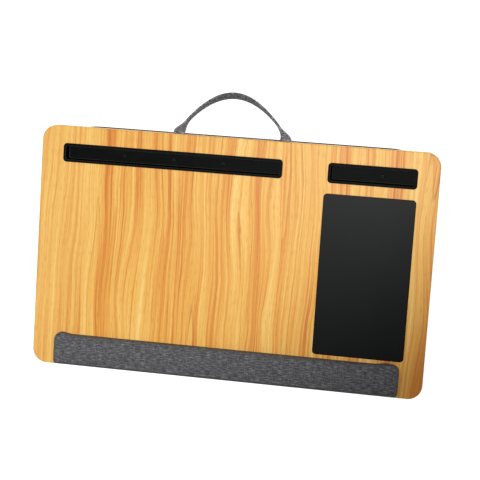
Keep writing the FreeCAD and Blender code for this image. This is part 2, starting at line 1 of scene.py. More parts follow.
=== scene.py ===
"""Dress a cushioned lap desk: wood-grain laminate, moulded trays, mouse pad, padded wrist rest,
two-lobed cushion and carry handle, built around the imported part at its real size.

Everything is in metres: +X to the user's right, +Y away from the user, +Z up.  The cushion
rests on z = 0 under the centre of the board.
"""

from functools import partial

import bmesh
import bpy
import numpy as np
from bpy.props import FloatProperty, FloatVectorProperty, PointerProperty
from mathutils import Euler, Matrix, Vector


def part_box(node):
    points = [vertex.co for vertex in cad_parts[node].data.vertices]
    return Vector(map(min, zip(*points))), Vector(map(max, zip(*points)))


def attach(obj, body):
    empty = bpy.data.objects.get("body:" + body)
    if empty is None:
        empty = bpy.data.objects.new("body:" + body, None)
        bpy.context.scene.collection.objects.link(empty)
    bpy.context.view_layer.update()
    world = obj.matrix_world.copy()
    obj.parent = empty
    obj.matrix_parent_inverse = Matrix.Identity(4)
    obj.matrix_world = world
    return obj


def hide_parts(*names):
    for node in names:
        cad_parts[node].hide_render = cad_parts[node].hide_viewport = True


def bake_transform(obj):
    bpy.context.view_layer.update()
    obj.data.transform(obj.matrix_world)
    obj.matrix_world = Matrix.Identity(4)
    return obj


bl_info = {
    "name": "Lap desk",
    "version": (1, 0, 0),
    "blender": (4, 5, 0),
    "location": "View3D > Sidebar > Lap desk",
    "description": "Dresses a cushioned lap desk with its fabrics and finishes and lights it",
    "category": "Add Mesh",
}

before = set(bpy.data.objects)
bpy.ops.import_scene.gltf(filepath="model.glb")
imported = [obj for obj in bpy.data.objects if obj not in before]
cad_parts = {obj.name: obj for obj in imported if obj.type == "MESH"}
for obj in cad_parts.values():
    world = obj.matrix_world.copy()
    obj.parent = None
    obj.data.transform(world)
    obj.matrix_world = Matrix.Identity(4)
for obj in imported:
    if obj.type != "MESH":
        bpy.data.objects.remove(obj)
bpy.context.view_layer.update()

MM = 0.001


# ---------------------------------------------------------------- colours and shader nodes

def linear(hex_colour):
    """Linear RGB of an sRGB colour written as six hex digits."""
    values = np.array([int(hex_colour[at:at + 2], 16) for at in (0, 2, 4)]) / 255
    return tuple(np.where(values <= 0.04045, values / 12.92, ((values + 0.055) / 1.055) ** 2.4))


def cells(wide, long):
    """Mapping scale of a pattern whose cells are so many millimetres wide and long."""
    return 1000 / wide, 1000 / long, 1.0


def connect(node, inputs):
    """Link each input of a node to its socket, or give it its value; a colour is opaque."""
    for key, value in inputs.items():
        socket = node.inputs[key]
        if isinstance(value, bpy.types.NodeSocket):
            node.id_data.links.new(value, socket)
        elif socket.type == "RGBA":
            socket.default_value = (*value, 1.0)
        else:
            socket.default_value = value


def add_node(tree, kind, inputs=(), output=0, stops=(), **settings):
    """Add a shader node with its settings, inputs and ramp stops, and give its output.

    inputs is a list in the node's own order or a dict by name or place, each a socket or a
    value.  output may be a slice of several.  A stop is a place and a colour or a grey.
    """
    node = tree.nodes.new(f"ShaderNode{kind}")
    for name, value in settings.items():
        setattr(node, name, value)
    connect(node, inputs if isinstance(inputs, dict) else dict(enumerate(inputs)))
    if stops:
        elements = node.color_ramp.elements
        while len(elements) < len(stops):
            elements.new(0.5)
        for element, (place, colour) in zip(elements, stops):
            element.position = place
            element.color = (*((colour,) * 3 if isinstance(colour, float) else colour), 1.0)
    return node.outputs[output]


def new_material(name, **values):
    """A material, its Principled shader with its constant values, and what adds nodes to it."""
    material = bpy.data.materials.new(name)
    material.use_nodes = True
    shader = material.node_tree.nodes["Principled BSDF"]
    connect(shader, {key.replace("_", " "): value for key, value in values.items()})
    return material, shader, partial(add_node, material.node_tree)


# ---------------------------------------------------------------- meshes

def grid_quads(rows, columns, closed=False):
    """Corner indices of a grid's quads; a closed grid joins its last column to its first."""
    row, column = np.meshgrid(np.arange(rows - 1), np.arange(columns - (not closed)),
                              indexing="ij")
    after = (column + 1) % columns
    corners = [row * columns + column, row * columns + after,
               (row + 1) * columns + after, (row + 1) * columns + column]
    return np.stack(corners, axis=-1).reshape(-1, 4)


def weld(piece):
    """Merge doubled points at poles and seams, and turn a closed form's faces outwards."""
    form = bmesh.new()
    form.from_mesh(piece.data)
    bmesh.ops.remove_doubles(form, verts=form.verts, dist=1e-6)
    bmesh.ops.dissolve_degenerate(form, edges=form.edges, dist=1e-7)
    bmesh.ops.recalc_face_normals(form, faces=form.faces)
    form.to_mesh(piece.data)
    form.free()
    return piece


def new_piece(name, points, quads, material, uv_corners=None):
    """A smooth object at the origin with its place in its mesh."""
    mesh = bpy.data.meshes.new(name)
    mesh.from_pydata(points.reshape(-1, 3).tolist(), [], quads.tolist())
    if uv_corners is not None:
        layer = mesh.uv_layers.new(name="cloth")
        layer.data.foreach_set("uv", uv_corners.astype(np.float32).ravel())
    mesh.polygons.foreach_set("use_smooth", np.ones(len(quads), bool))
    mesh.materials.append(material)
    piece = bpy.data.objects.new(name, mesh)
    bpy.context.scene.collection.objects.link(piece)
    return piece


def assemble(name, parts, material):
    """One piece of several grids: each part is its points, its UV places and whether it is
    closed.  A closed part's UV grid has one more column than its points."""
    start, quads, corners = 0, [], []
    for points, uv, closed in parts:
        rows, columns = points.shape[:2]
        quads.append(grid_quads(rows, columns, closed) + start)
        corners.append(uv.reshape(-1, 2)[grid_quads(rows, uv.shape[1]).ravel()])
        start += rows * columns
    points = np.concatenate([part[0].reshape(-1, 3) for part in parts])
    return weld(new_piece(name, points, np.concatenate(quads), material,
                          np.concatenate(corners)))


def repeat(name, forms, material):
    """One piece of many like forms: forms is one array of closed grids."""
    count, rows, columns = forms.shape[:3]
    starts = np.arange(count)[:, None, None] * rows * columns
    quads = (grid_quads(rows, columns, closed=True) + starts).reshape(-1, 4)
    return weld(new_piece(name, forms, quads, material))


def modify(piece, kind, **settings):
    """Add a modifier with its settings."""
    modifier = piece.modifiers.new(kind.title(), kind)
    for name, value in settings.items():
        setattr(modifier, name, value)
    return piece


def smooth(piece):
    """Round a piece off by one level of subdivision."""
    return modify(piece, "SUBSURF", levels=1, render_levels=1)


def finish(piece, body, slot, *nodes):
    """Let a piece ride on a body and stand for its nodes, which are hidden; slot is not used."""
    if body:
        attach(piece, body)
    if nodes:
        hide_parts(*nodes)
    return piece


def dress(material, *nodes):
    """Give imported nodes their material."""
    for node in nodes:
        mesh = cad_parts[node].data
        mesh.materials.clear()
        mesh.materials.append(material)


def box_of(*nodes):
    """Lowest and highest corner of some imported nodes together."""
    corners = np.array([[list(corner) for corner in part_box(node)] for node in nodes])
    return corners[:, 0].min(0), corners[:, 1].max(0)


def lengths_along(points, **ends):
    """Length along a line of points from its first to each of them."""
    return np.r_[0, np.cumsum(np.linalg.norm(np.diff(points, axis=0, **ends), axis=1))]


def drawn_together(rings, path):
    """Rings of points with one more at each end, all of whose points are the path's end."""
    first, last = (np.broadcast_to(end, (1, *rings.shape[1:])) for end in (path[0], path[-1]))
    return np.concatenate([first, rings, last])


def cord_piece(name, path, radius, material, side=None):
    """A piping or seam cord: a ring of points round each point of its path.

    ring point = path + radius (cos a * side + sin a * up), where side is the horizontal
    direction across the path and up completes the frame.  A path with a side of its own is
    open, with its ends drawn together.
    """
    if side is None:
        along = np.roll(path, -1, 0) - np.roll(path, 1, 0)
        across = np.cross(along, (0.0, 0.0, 1.0))
    else:
        along, across = np.gradient(path, axis=0), np.broadcast_to(side, path.shape)
    along, across = (way / np.linalg.norm(way, axis=1, keepdims=True) for way in (along, across))
    up = np.cross(across, along)
    turn = np.linspace(0, 2 * np.pi, 9)
    angle = turn[:-1, None]
    rings = path[:, None] + radius * (np.cos(angle) * across[:, None] + np.sin(angle) * up[:, None])
    rings = (np.concatenate([rings, rings[:1]]) if side is None
             else drawn_together(rings, path))
    cloth = np.stack(np.meshgrid(turn * radius, lengths_along(rings.mean(1))), axis=-1)
    return assemble(name, [(rings, cloth, True)], material)


def stitch_forms(centres, along, normal, length, width, height):
    """Stitches: an ellipsoid of points round each centre.

    point = centre + cos a * length / 2 * along + sin a * (cos b * width / 2 * across
    + sin b * height / 2 * normal).
    """
    lift = np.linspace(0, np.pi, 5)[:, None]
    turn = np.linspace(0, 2 * np.pi, 6, endpoint=False)[None, :]
    form = (np.cos(lift) * np.ones_like(turn) * length / 2,
            np.sin(lift) * np.cos(turn) * width / 2, np.sin(lift) * np.sin(turn) * height / 2)
    axes = (along, np.cross(normal, along), normal)
    return centres[:, None, None] + sum(part[None, ..., None] * axis[:, None, None]
                                        for part, axis in zip(form, axes))


# ---------------------------------------------------------------- padded forms

def outline(half_x, half_y, front, rear, spacing):
    """Points round a rectangle with rounded corners, counter-clockwise from the middle of its
    front, with their outward normals and how many there are on half of each side.

    front and rear are the corners' radii.  A quarter runs along the straight front, round the
    corner arc and along the straight side; the other three are its mirror images.
    """
    count_x, count_y = round(half_x / spacing), max(round(half_y / spacing), 4)

    def quarter(corner):
        straight_x, straight_y, arc = half_x - corner, half_y - corner, np.pi * corner / 2
        along = np.concatenate([
            np.linspace(0, straight_x + arc / 2, count_x, endpoint=False),
            np.linspace(straight_x + arc / 2, straight_x + arc + straight_y, count_y + 1)])
        turn = np.clip((along - straight_x) / corner, 0, np.pi / 2)
        normal = np.stack([np.sin(turn), -np.cos(turn)], axis=1)
        centre = np.stack([np.minimum(along, straight_x),
                           -straight_y + np.maximum(along - straight_x - arc, 0)], axis=1)
        return np.stack([centre + corner * normal, normal])

    mirror_y, mirror_x = np.array([1.0, -1.0]), np.array([-1.0, 1.0])
    near, far = quarter(front), quarter(rear) * mirror_y
    parts = [near[:, :-1], far[:, :0:-1], (far * mirror_x)[:, :-1], (near * mirror_x)[:, :0:-1]]
    points, normals = np.concatenate(parts, axis=1)
    return points, normals, count_x, count_y


def patch(ring, count_x, count_y):
    """A Coons patch inside a ring of points: rows from front to rear, columns from left to right.

    Each inner point is the blend of the two sides' points plus the blend of the front's and
    rear's, less the blend of the four corners.
    """
    ring = np.roll(ring, count_x, axis=0)                   # starts at the front left corner
    front = ring[:2 * count_x + 1]
    right = ring[2 * count_x:2 * (count_x + count_y) + 1]
    rear = ring[2 * (count_x + count_y):4 * count_x + 2 * count_y + 1][::-1]
    left = np.concatenate([ring[4 * count_x + 2 * count_y:], ring[:1]])[::-1]
    u = np.linspace(0, 1, 2 * count_x + 1)[None, :, None]
    v = np.linspace(0, 1, 2 * count_y + 1)[:, None, None]
    sides = (1 - u) * left[:, None] + u * right[:, None]
    ends = (1 - v) * front[None] + v * rear[None]
    corners = ((1 - u) * (1 - v) * front[0] + u * (1 - v) * front[-1]
               + (1 - u) * v * rear[0] + u * v * rear[-1])
    return sides + ends - corners


def ring_rows(points, normals, profile):
    """Rings of points: each row of the profile is an inset and a height.

    point = outline point - normal * inset, at the height.
    """
    inset, height = (profile[:, None, at] for at in (0, 1))
    flat = points[None] - normals[None] * inset[..., None]
    return np.concatenate([flat, np.broadcast_to(height[..., None], flat.shape[:2] + (1,))], 2)


def ring_cloth(points, normals, profile):
    """UV places of a ring's cloth in metres, as if it were laid flat from its last row.

    place = outline point + normal * (length along the profile from the last row - its inset).
    """
    length = lengths_along(profile)
    out = length[-1] - length - profile[-1, 0]
    flat = points[None] + normals[None] * out[:, None, None]
    return np.concatenate([flat, flat[:, :1]], axis=1)


CLOTH = {"quality": 6, "mass": 0.3, "tension_stiffness": 20, "compression_stiffness": 20,
         "bending_stiffness": 1.0, "use_pressure": True, "uniform_pressure_force": 4.0,
         "shrink_min": -0.012, "vertex_group_mass": "held"}
CLOTH_FRAMES = 20


def inflate(grids, pinned, swell, floor):
    """Weld grids of points into one skin, blow it up as cloth and give the grids back.

    grids are (points, closed) pairs; pinned gives how firmly each point is held, from 0 to 1. A
    point keeps only the part of its move along the skin's outward normal, as swell * tanh(move
    / swell), so none moves inwards or further than swell, or below the floor.
    """
    points = np.concatenate([grid.reshape(-1, 3) for grid, _ in grids])
    starts = np.cumsum([0] + [grid.shape[0] * grid.shape[1] for grid, _ in grids])
    quads = np.concatenate([grid_quads(*grid.shape[:2], closed) + start
                            for (grid, closed), start in zip(grids, starts)])
    _, first, inverse = np.unique(np.round(points / (0.01 * MM)).astype(int), axis=0,
                                  return_index=True, return_inverse=True)
    inverse = inverse.ravel()
    rest = points[first]
    skin = bpy.data.meshes.new("skin")
    skin.from_pydata(rest.tolist(), [], inverse[quads].tolist())
    cloth_piece = bpy.data.objects.new("skin", skin)
    bpy.context.scene.collection.objects.link(cloth_piece)
    weld(cloth_piece)
    facing = np.empty(len(skin.vertices) * 3)
    skin.vertex_normals.foreach_get("vector", facing)
    facing = facing.reshape(-1, 3)
    held = np.zeros(len(rest))
    np.maximum.at(held, inverse, pinned)
    group = cloth_piece.vertex_groups.new(name="held")
    for weight in np.unique(held[held > 0]):
        group.add(np.flatnonzero(held == weight).tolist(), float(weight), "REPLACE")
    cloth = cloth_piece.modifiers.new("Cloth", "CLOTH")
    for setting, value in CLOTH.items():
        setattr(cloth.settings, setting, value)
    cloth.settings.effector_weights.gravity = 0.0
    cloth.collision_settings.use_self_collision = False
    for number in range(1, CLOTH_FRAMES + 1):
        bpy.context.scene.frame_set(number)
    graph = bpy.context.evaluated_depsgraph_get()
    blown = cloth_piece.evaluated_get(graph).to_mesh()
    moved = np.empty(len(blown.vertices) * 3)
    blown.vertices.foreach_get("co", moved)
    bpy.data.objects.remove(cloth_piece)
    bpy.context.scene.frame_set(1)
    if len(moved) != rest.size:
        raise RuntimeError("the skin lost points while it was welded")
    out = np.sum((moved.reshape(-1, 3) - rest) * facing, axis=1, keepdims=True)
    result = rest + facing * swell * np.tanh(np.maximum(out, 0) / swell)
    result[:, 2] = np.maximum(result[:, 2], floor)
    return [result[inverse[start:end]].reshape(grid.shape)
            for (grid, _), start, end in zip(grids, starts, starts[1:])]


# ---------------------------------------------------------------- materials

# lens figures in the grain: middle and half size along x and y, and how far lines are pushed
KNOTS = ((0.036, 0.063, 0.015, 0.050, 0.009), (0.043, -0.088, 0.013, 0.036, 0.009),
         (-0.165, -0.030, 0.016, 0.070, 0.006), (-0.060, 0.030, 0.012, 0.050, -0.005),
         (0.105, 0.120, 0.012, 0.040, 0.006))
# the top of the board's edge is paler, partly for its own lighter colour and partly as a painted
# highlight on its rounded top
PALE_EDGE_HEIGHT = 63.5 * MM          # above this height the board's edge is pale


def laminate(colours):
    """Wood-grain laminate: printed elm paper under satin melamine, so the figure is strong but
    the surface is smooth.  Grain runs across the board's depth in bands 3 to 20 mm wide, and a
    dark late-wood line closes each year's ring."""
    material, shader, add = new_material("wood_grain_laminate", Roughness=0.40, IOR=1.5,
                                         Specular_IOR_Level=0.16)
    x, y, z = add("SeparateXYZ", [add("TexCoord", output="Object")], slice(3))
    flat = add("CombineXYZ", [x, y])
    facing = add("SeparateXYZ", [add("NewGeometry", output="Normal")], 2)
    side = add("Math", [add("Math", [facing], operation="ABSOLUTE"), 0.5], operation="LESS_THAN")
    # on the edge the paper is bent over, so the pattern goes on round it
    u = add("Math", [side, y, x], operation="MULTIPLY_ADD")
    # the grain wanders by two noises: their cells in mm, shift, detail, and push in mm
    for wide, long, shift, detail, push in ((111.0, 238.0, 0.0, 1.0, 26.0),
                                            (14.3, 41.7, 7.3, 2.0, 2.2)):
        place = add("Mapping", {"Vector": flat, "Location": (shift, 0, 0),
                                "Scale": cells(wide, long)})
        wander = add("TexNoise", {"Vector": place, "Scale": 1.0, "Detail": detail},
                     noise_dimensions="2D")
        wander = add("Math", [wander, 0.5], operation="SUBTRACT")
        u = add("Math", [wander, push * MM, u], operation="MULTIPLY_ADD")
    # long lens figures, where the lines swing round a hidden knot: off e^(-off^2) push
    for knot_x, knot_y, half_wide, half_long, push in KNOTS:
        off = add("Mapping", {"Vector": flat, "Location": (knot_x, knot_y, 0),
                              "Scale": (half_wide, half_long, 1)}, vector_type="TEXTURE")
        square = add("VectorMath", [off, off], "Value", operation="DOT_PRODUCT")
        fall = add("Math", [square, -1.0], operation="MULTIPLY")
        fall = add("Math", [fall], operation="EXPONENT")
        swing = add("Math", [add("SeparateXYZ", [off]), fall], operation="MULTIPLY")
        u = add("Math", [swing, push, u], operation="MULTIPLY_ADD")
    # patterns along the lines: their cells in mm, shift, detail and roughness
    figure = add("CombineXYZ", [u, y])
    bands, streaks, fine, pores, drift, strength = (
        add("TexNoise", {"Vector": add("Mapping", {"Vector": figure, "Location": (shift, 0, 0),
                                                   "Scale": cells(wide, long)}),
                         "Scale": 1.0, "Detail": detail, "Roughness": rough},
            noise_dimensions="2D")
        for wide, long, shift, detail, rough in (
            (26.3, 1250.0, 3.1, 1.0, 0.5), (5.88, 625.0, 11.7, 2.0, 0.6),
            (2.08, 200.0, 5.9, 2.0, 0.65), (0.91, 12.5, 2.2, 1.0, 0.5),
            (45.5, 1430.0, 17.0, 1.0, 0.5), (14.3, 500.0, 9.1, 2.0, 0.5)))
    # year rings: a saw wave 16 mm long across the grain, pulled about by slow noise
    rings = add("Math", [u, 1 / (16.13 * MM)], operation="MULTIPLY")
    rings = add("Math", [drift, 7.0, rings], operation="MULTIPLY_ADD")
    rings = add("Math", [rings], operation="FRACT")
    late = add("Math", [rings, 5.0], operation="POWER")
    # painted shade: the colour turns darker and redder towards the right front corner, over 96 mm
    corner = add("VectorMath", [flat, (0.625, -0.781, 0)], "Value", operation="DOT_PRODUCT")
    corner = add("MapRange", {"Value": corner, "From Min": 194 * MM, "From Max": 290 * MM})
    # the corner's share in this sum darkens the tone, part of the same painted shade
    tone = -0.03
    for pattern, share in ((fine, 0.32), (streaks, 0.32), (bands, 0.42), (late, -0.085),
                           (corner, -0.03)):
        tone = add("Math", [pattern, share, tone], operation="MULTIPLY_ADD")
    colour = add("ValToRGB", [tone], stops=(
        (0.34, colours.grain_dark), (0.42, colours.grain_orange), (0.49, colours.grain_honey),
        (0.57, colours.grain_light), (0.66, colours.grain_pale)))
    # painted shade: share of the redder colour near the right front corner
    corner_painted_shade = add("Math", [corner, 0.40], operation="MULTIPLY")
    # painted light: the colour also turns paler towards the left edge, standing in for brighter
    # light there
    painted_light_left = add("MapRange", {"Value": x, "From Min": -180 * MM, "From Max": -430 * MM})
    # thin dark late-wood lines, strong in some rings and faint in others
    line = add("ValToRGB", [rings], stops=((0.0, 0.7), (0.035, 0.0), (0.955, 0.0), (1.0, 1.0)))
    strength = add("ValToRGB", [strength], stops=((0.50, 0.0), (0.66, 0.8)))
    line = add("Math", [line, strength], operation="MULTIPLY")
    specks = add("ValToRGB", [pores], stops=((0.58, 0.0), (0.72, 1.0)))
    specks = add("Math", [specks, 0.24], operation="MULTIPLY")
    # the top of the board's edge is mixed pale: its own lighter colour plus a painted highlight
    pale_and_painted_highlight = add("Math", [z, PALE_EDGE_HEIGHT], operation="GREATER_THAN")
    pale_and_painted_highlight = add("Math", [side, pale_and_painted_highlight], operation="MULTIPLY")
    for share, layer in ((corner_painted_shade, colours.grain_orange), (painted_light_left, colours.grain_pale),
                         (line, colours.grain_line), (specks, colours.grain_line),
                         (pale_and_painted_highlight, colours.grain_pale)):
        colour = add("Mix", {0: share, 6: colour, 7: layer}, 2, data_type="RGBA")
    printed = add("Bump", {"Height": fine, "Strength": 1.0, "Distance": 0.02 * MM})
    connect(shader, {"Base Color": colour, "Normal": printed})
    return material


def hardboard():
    """Raw hardboard: pressed wood fibres, so it is dull brown with short pale flecks."""
    material, shader, add = new_material("raw_hardboard", Roughness=0.8)
    place = add("TexCoord", output="Object")
    flecks, clouds = (
        add("TexNoise", {"Vector": add("Mapping", {"Vector": place, "Scale": cells(wide, long)}),
                         "Scale": 1.0, "Detail": detail, "Roughness": rough},
            noise_dimensions="2D")
        for wide, long, detail, rough in ((1.43, 2.86, 3.0, 0.7), (33.0, 33.0, 2.0, 0.5)))
    colour = add("ValToRGB", [flecks], stops=(
        (0.35, linear("4a3420")), (0.55, linear("6b4d31")), (0.75, linear("8a6a48"))))
    clouds = add("ValToRGB", [clouds], stops=((0.3, 0.0), (0.7, 0.3)))
    colour = add("Mix", {0: clouds, 6: colour, 7: linear("5a4029")}, 2, data_type="RGBA")
    fibres = add("Bump", {"Height": flecks, "Strength": 1.0, "Distance": 0.1 * MM})
    connect(shader, {"Base Color": colour, "Normal": fibres})
    return material


def moulded_abs(colours):
    """Black ABS from a spark-eroded mould: a satin skin of grains about 0.3 mm across, with a
    painted highlight that makes its rounded edges a little lighter."""
    material, shader, add = new_material("moulded_black_abs", IOR=1.54, Specular_IOR_Level=0.015)
    place = add("TexCoord", output="Object")
    grain, wear = (add("TexNoise", {"Vector": place, "Scale": 1 / (size * MM), "Detail": detail})
                   for size, detail in ((0.3, 1.0), (16.7, 3.0)))
    lift = add("SeparateXYZ", [add("NewGeometry", output="Normal")], 2)
    wear_and_painted_shade = add("ValToRGB", [wear], stops=((0.4, 0.0), (0.7, 1.0)))
    # painted highlight: where the normal is half turned up, on the rounded edges, the colour is
    # mixed towards light grey
    painted_edge_highlight = add("ValToRGB", [lift], stops=((0.25, 0.0), (0.55, 0.7), (0.90, 0.0)))
    colour = colours.plastic
    for share, layer in ((wear_and_painted_shade, linear("0f1010")), (painted_edge_highlight, linear("5a5a58"))):
        colour = add("Mix", {0: share, 6: colour, 7: layer}, 2, data_type="RGBA")
    rough = add("MapRange", {"Value": wear, "To Min": 0.40, "To Max": 0.50})
    skin = add("Bump", {"Height": grain, "Strength": 1.0, "Distance": 0.02 * MM})
    connect(shader, {"Base Color": colour, "Roughness": rough, "Normal": skin})
    return material


def pad_sheet(colours):
    """Grained PU leather sheet: satin black with pebbles 0.6 mm across, darker within about 1.5 mm
    of its edge.
    """
    material, shader, add = new_material("grained_pu_leather", Roughness=0.36, IOR=1.5,
                                         Specular_IOR_Level=0.05)
    place = add("TexCoord", output="Object")
    x, y = add("SeparateXYZ", [place], slice(2))
    low, high = (np.array(corner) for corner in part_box("mouse_pad"))
    middle, half = (low + high) / 2, (high - low) / 2
    radius = 5 * MM
    # how far inside a rectangle with rounded corners, where leg = |p - middle| - half + radius:
    # radius - |max(leg, 0)| - min(max(leg x, leg y), 0)
    leg = add("VectorMath", [add("CombineXYZ", [x, y]), (*middle[:2], 0)], operation="SUBTRACT")
    leg = add("VectorMath", [leg], operation="ABSOLUTE")
    leg = add("VectorMath", [leg, (*(half[:2] - radius), 0)], operation="SUBTRACT")
    reach = add("VectorMath", [leg, (0, 0, 0)], operation="MAXIMUM")
    reach = add("VectorMath", [reach], "Value", operation="LENGTH")
    inner = add("Math", add("SeparateXYZ", [leg], slice(2)), operation="MAXIMUM")
    inner = add("Math", [inner, 0.0], operation="MINIMUM")
    inside = add("Math", [radius, add("Math", [reach, inner], operation="ADD")],
                 operation="SUBTRACT")
    inside = add("Math", [inside, 1 / (4 * MM)], operation="MULTIPLY")
    # the colour is darker within about 1.5 mm of the edge
    dark_border = add("ValToRGB", [inside], stops=((0.33, 1.0), (0.42, 0.0)))
    pebbles = add("TexVoronoi", {"Vector": place, "Scale": 1 / (0.625 * MM)},
                  feature="SMOOTH_F1")
    clouds = add("TexNoise", {"Vector": place, "Scale": 1 / (40 * MM), "Detail": 3.0})
    clouds = add("ValToRGB", [clouds], stops=((0.35, 0.0), (0.7, 0.6)))
    colour = colours.pad_sheet
    for share, layer in ((clouds, linear("101111")), (dark_border, linear("050505"))):
        colour = add("Mix", {0: share, 6: colour, 7: layer}, 2, data_type="RGBA")
    grain = add("Bump", {"Height": pebbles, "Strength": 1.0, "Distance": 0.03 * MM})
    connect(shader, {"Base Color": colour, "Normal": grain})
    return material


def melange_linen(name, colour, light, turned=0.0, painted_shade_middle=None):
    """Linen-look polyester in plain weave: yarns dyed unevenly, so short pale flecks run along
    some of the weft and a few of the warp.  Yarns are drawn 1.6 mm apart, coarser than the real
    0.8 mm, so that they show.  Painted shade darkens the cloth where it turns down, to its front
    and to its ends, by turned.  Painted shade also darkens a handle round the middle of its
    length, whose place along v is given."""
    material, shader, add = new_material(name, Roughness=0.92, Sheen_Weight=0.08,
                                         Sheen_Roughness=0.5, Specular_IOR_Level=0.15)
    place = add("UVMap", uv_map="cloth")
    u, v = add("SeparateXYZ", [place], slice(2))
    # cells in mm, shift, detail and roughness of each unevenness
    weft, warp, clouds, fuzz = (
        add("TexNoise", {"Vector": add("Mapping", {"Vector": place, "Location": (shift, 0, 0),
                                                   "Scale": cells(wide, long)}),
                         "Scale": 1.0, "Detail": detail, "Roughness": rough},
            noise_dimensions="2D")
        for wide, long, shift, detail, rough in (
            (7.69, 1.351, 0.0, 1.0, 0.6), (1.351, 9.09, 4.4, 1.0, 0.6),
            (22.2, 16.7, 8.8, 3.0, 0.6), (0.667, 0.667, 0.0, 1.0, 0.5)))
    flecks = add("Math", [add("ValToRGB", [weft], stops=((0.48, 0.0), (0.72, 1.0))),
                          add("ValToRGB", [warp], stops=((0.52, 0.0), (0.74, 0.6)))],
                 operation="MAXIMUM")
    clouds = add("ValToRGB", [clouds], stops=((0.35, 0.7), (0.6, 1.0)))
    flecks = add("Math", [flecks, clouds], operation="MULTIPLY")
    dark = add("Math", [add("ValToRGB", [weft], stops=((0.28, 1.0), (0.48, 0.0))),
                        add("ValToRGB", [warp], stops=((0.26, 0.7), (0.46, 0.0)))],
               operation="MAXIMUM")
    dark = add("Math", [dark, 0.6], operation="MULTIPLY")
    fuzz = add("ValToRGB", [fuzz], stops=((0.35, 0.3), (0.6, 0.0)))
    # painted shade: where the cloth turns down, to the front or to the sides, it is mixed towards
    # deep by turned; faces turned to the rear keep their colour
    rear, lift = add("SeparateXYZ", [add("NewGeometry", output="Normal")], slice(1, 3))
    lift = add("Math", [rear, 0.7, lift], operation="MULTIPLY_ADD")
    down = add("ValToRGB", [lift], stops=((0.35, turned), (0.93, 0.0)))
    deep = tuple(value * 0.42 for value in colour)
    # painted shade: a handle's cloth is darkened round the middle of its length, fading out between
    # 25 and 85 mm away
    if painted_shade_middle is not None:
        away = add("Math", [v, painted_shade_middle], operation="SUBTRACT")
        away = add("Math", [away], operation="ABSOLUTE")
        wear_and_painted_shade = add("ValToRGB", [away], stops=((25 * MM, 1.0), (85 * MM, 0.0)))
        colour = add("Mix", {0: wear_and_painted_shade, 6: colour, 7: deep}, 2, data_type="RGBA")
        wear_and_painted_shade = add("Math", [wear_and_painted_shade, 0.45], operation="MULTIPLY")
        light = add("Mix", {0: wear_and_painted_shade, 6: light, 7: deep}, 2, data_type="RGBA")
    for share, layer in ((flecks, light), (dark, deep), (fuzz, deep), (down, deep)):
        colour = add("Mix", {0: share, 6: colour, 7: layer}, 2, data_type="RGBA")
    yarns = [add("Math", [add("Math", [axis, 2 * np.pi / (1.6 * MM)], operation="MULTIPLY")],
                 operation="SINE") for axis in (u, v)]
    weave = add("Math", [*yarns, 0.5], operation="MULTIPLY_ADD")
    height = add("Math", [weave, 0.4, add("Math", [flecks, 0.6], operation="MULTIPLY")],
                 operation="MULTIPLY_ADD")
    relief = add("Bump", {"Height": height, "Strength": 1.0, "Distance": 0.2 * MM})
    connect(shader, {"Base Color": colour, "Normal": relief})
    return material


def knit_mesh():
    """Black knitted spacer mesh: staggered rows of small dark eyes, 3 mm apart in a row."""
    material, shader, add = new_material("black_knit_mesh", Roughness=0.85, Sheen_Weight=0.2,
                                         Specular_IOR_Level=0.25)
    place = add("UVMap", uv_map="cloth")
    u, v = add("SeparateXYZ", [place], slice(2))
    rows = []
    for slant in ("ADD", "SUBTRACT"):
        row = add("Math", [u, v], operation=slant)
        row = add("Math", [row, 2 * np.pi / (3 * MM)], operation="MULTIPLY")
        rows.append(add("Math", [row], operation="COSINE"))
    lattice = add("Math", [add("Math", rows, operation="ADD"), 0.25, 0.5],
                  operation="MULTIPLY_ADD")
    eyes = add("ValToRGB", [lattice], stops=((0.70, 0.0), (0.86, 1.0)))
    yarn = add("Mapping", {"Vector": place, "Scale": cells(0.67, 2.0)})
    yarn = add("TexNoise", {"Vector": yarn, "Scale": 1.0, "Detail": 2.0}, noise_dimensions="2D")
    yarn = add("ValToRGB", [yarn], stops=((0.4, 0.0), (0.65, 1.0)))
    colour = linear("1b1b1c")
    for share, layer in ((yarn, linear("2b2b2d")), (eyes, linear("050505"))):
        colour = add("Mix", {0: share, 6: colour, 7: layer}, 2, data_type="RGBA")
    depth = add("Math", [1.0, eyes], operation="SUBTRACT")
    relief = add("Bump", {"Height": depth, "Strength": 1.0, "Distance": 0.4 * MM})
    connect(shader, {"Base Color": colour, "Normal": relief})
    return material


def bead_fill():
    """Expanded polystyrene beads and soft foam: off-white cells 3 mm across."""
    material, shader, add = new_material("expanded_bead_fill", Roughness=0.9)
    beads = add("TexVoronoi", {"Vector": add("TexCoord", output="Object"),
                               "Scale": 1 / (3 * MM)})
    colour = add("ValToRGB", [beads], stops=((0.2, linear("e9e7df")), (0.8, linear("bdbab0"))))
    relief = add("Bump", {"Height": beads, "Strength": 1.0, "Distance": -0.5 * MM})
    connect(shader, {"Base Color": colour, "Normal": relief})
    return material


def plain_strip(name, colour, speck, roughness, size):
    """A hidden strip: one colour with fine specks of its filler or backing, their size in mm."""
    material, shader, add = new_material(name, Roughness=roughness)
    specks = add("TexNoise", {"Vector": add("TexCoord", output="Object"),
                              "Scale": 1 / (size * MM), "Detail": 2.0})
    specks = add("ValToRGB", [specks], stops=((0.4, 0.0), (0.7, 1.0)))
    connect(shader, {"Base Color": add("Mix", {0: specks, 6: colour, 7: speck}, 2,
                                       data_type="RGBA")})
    return material


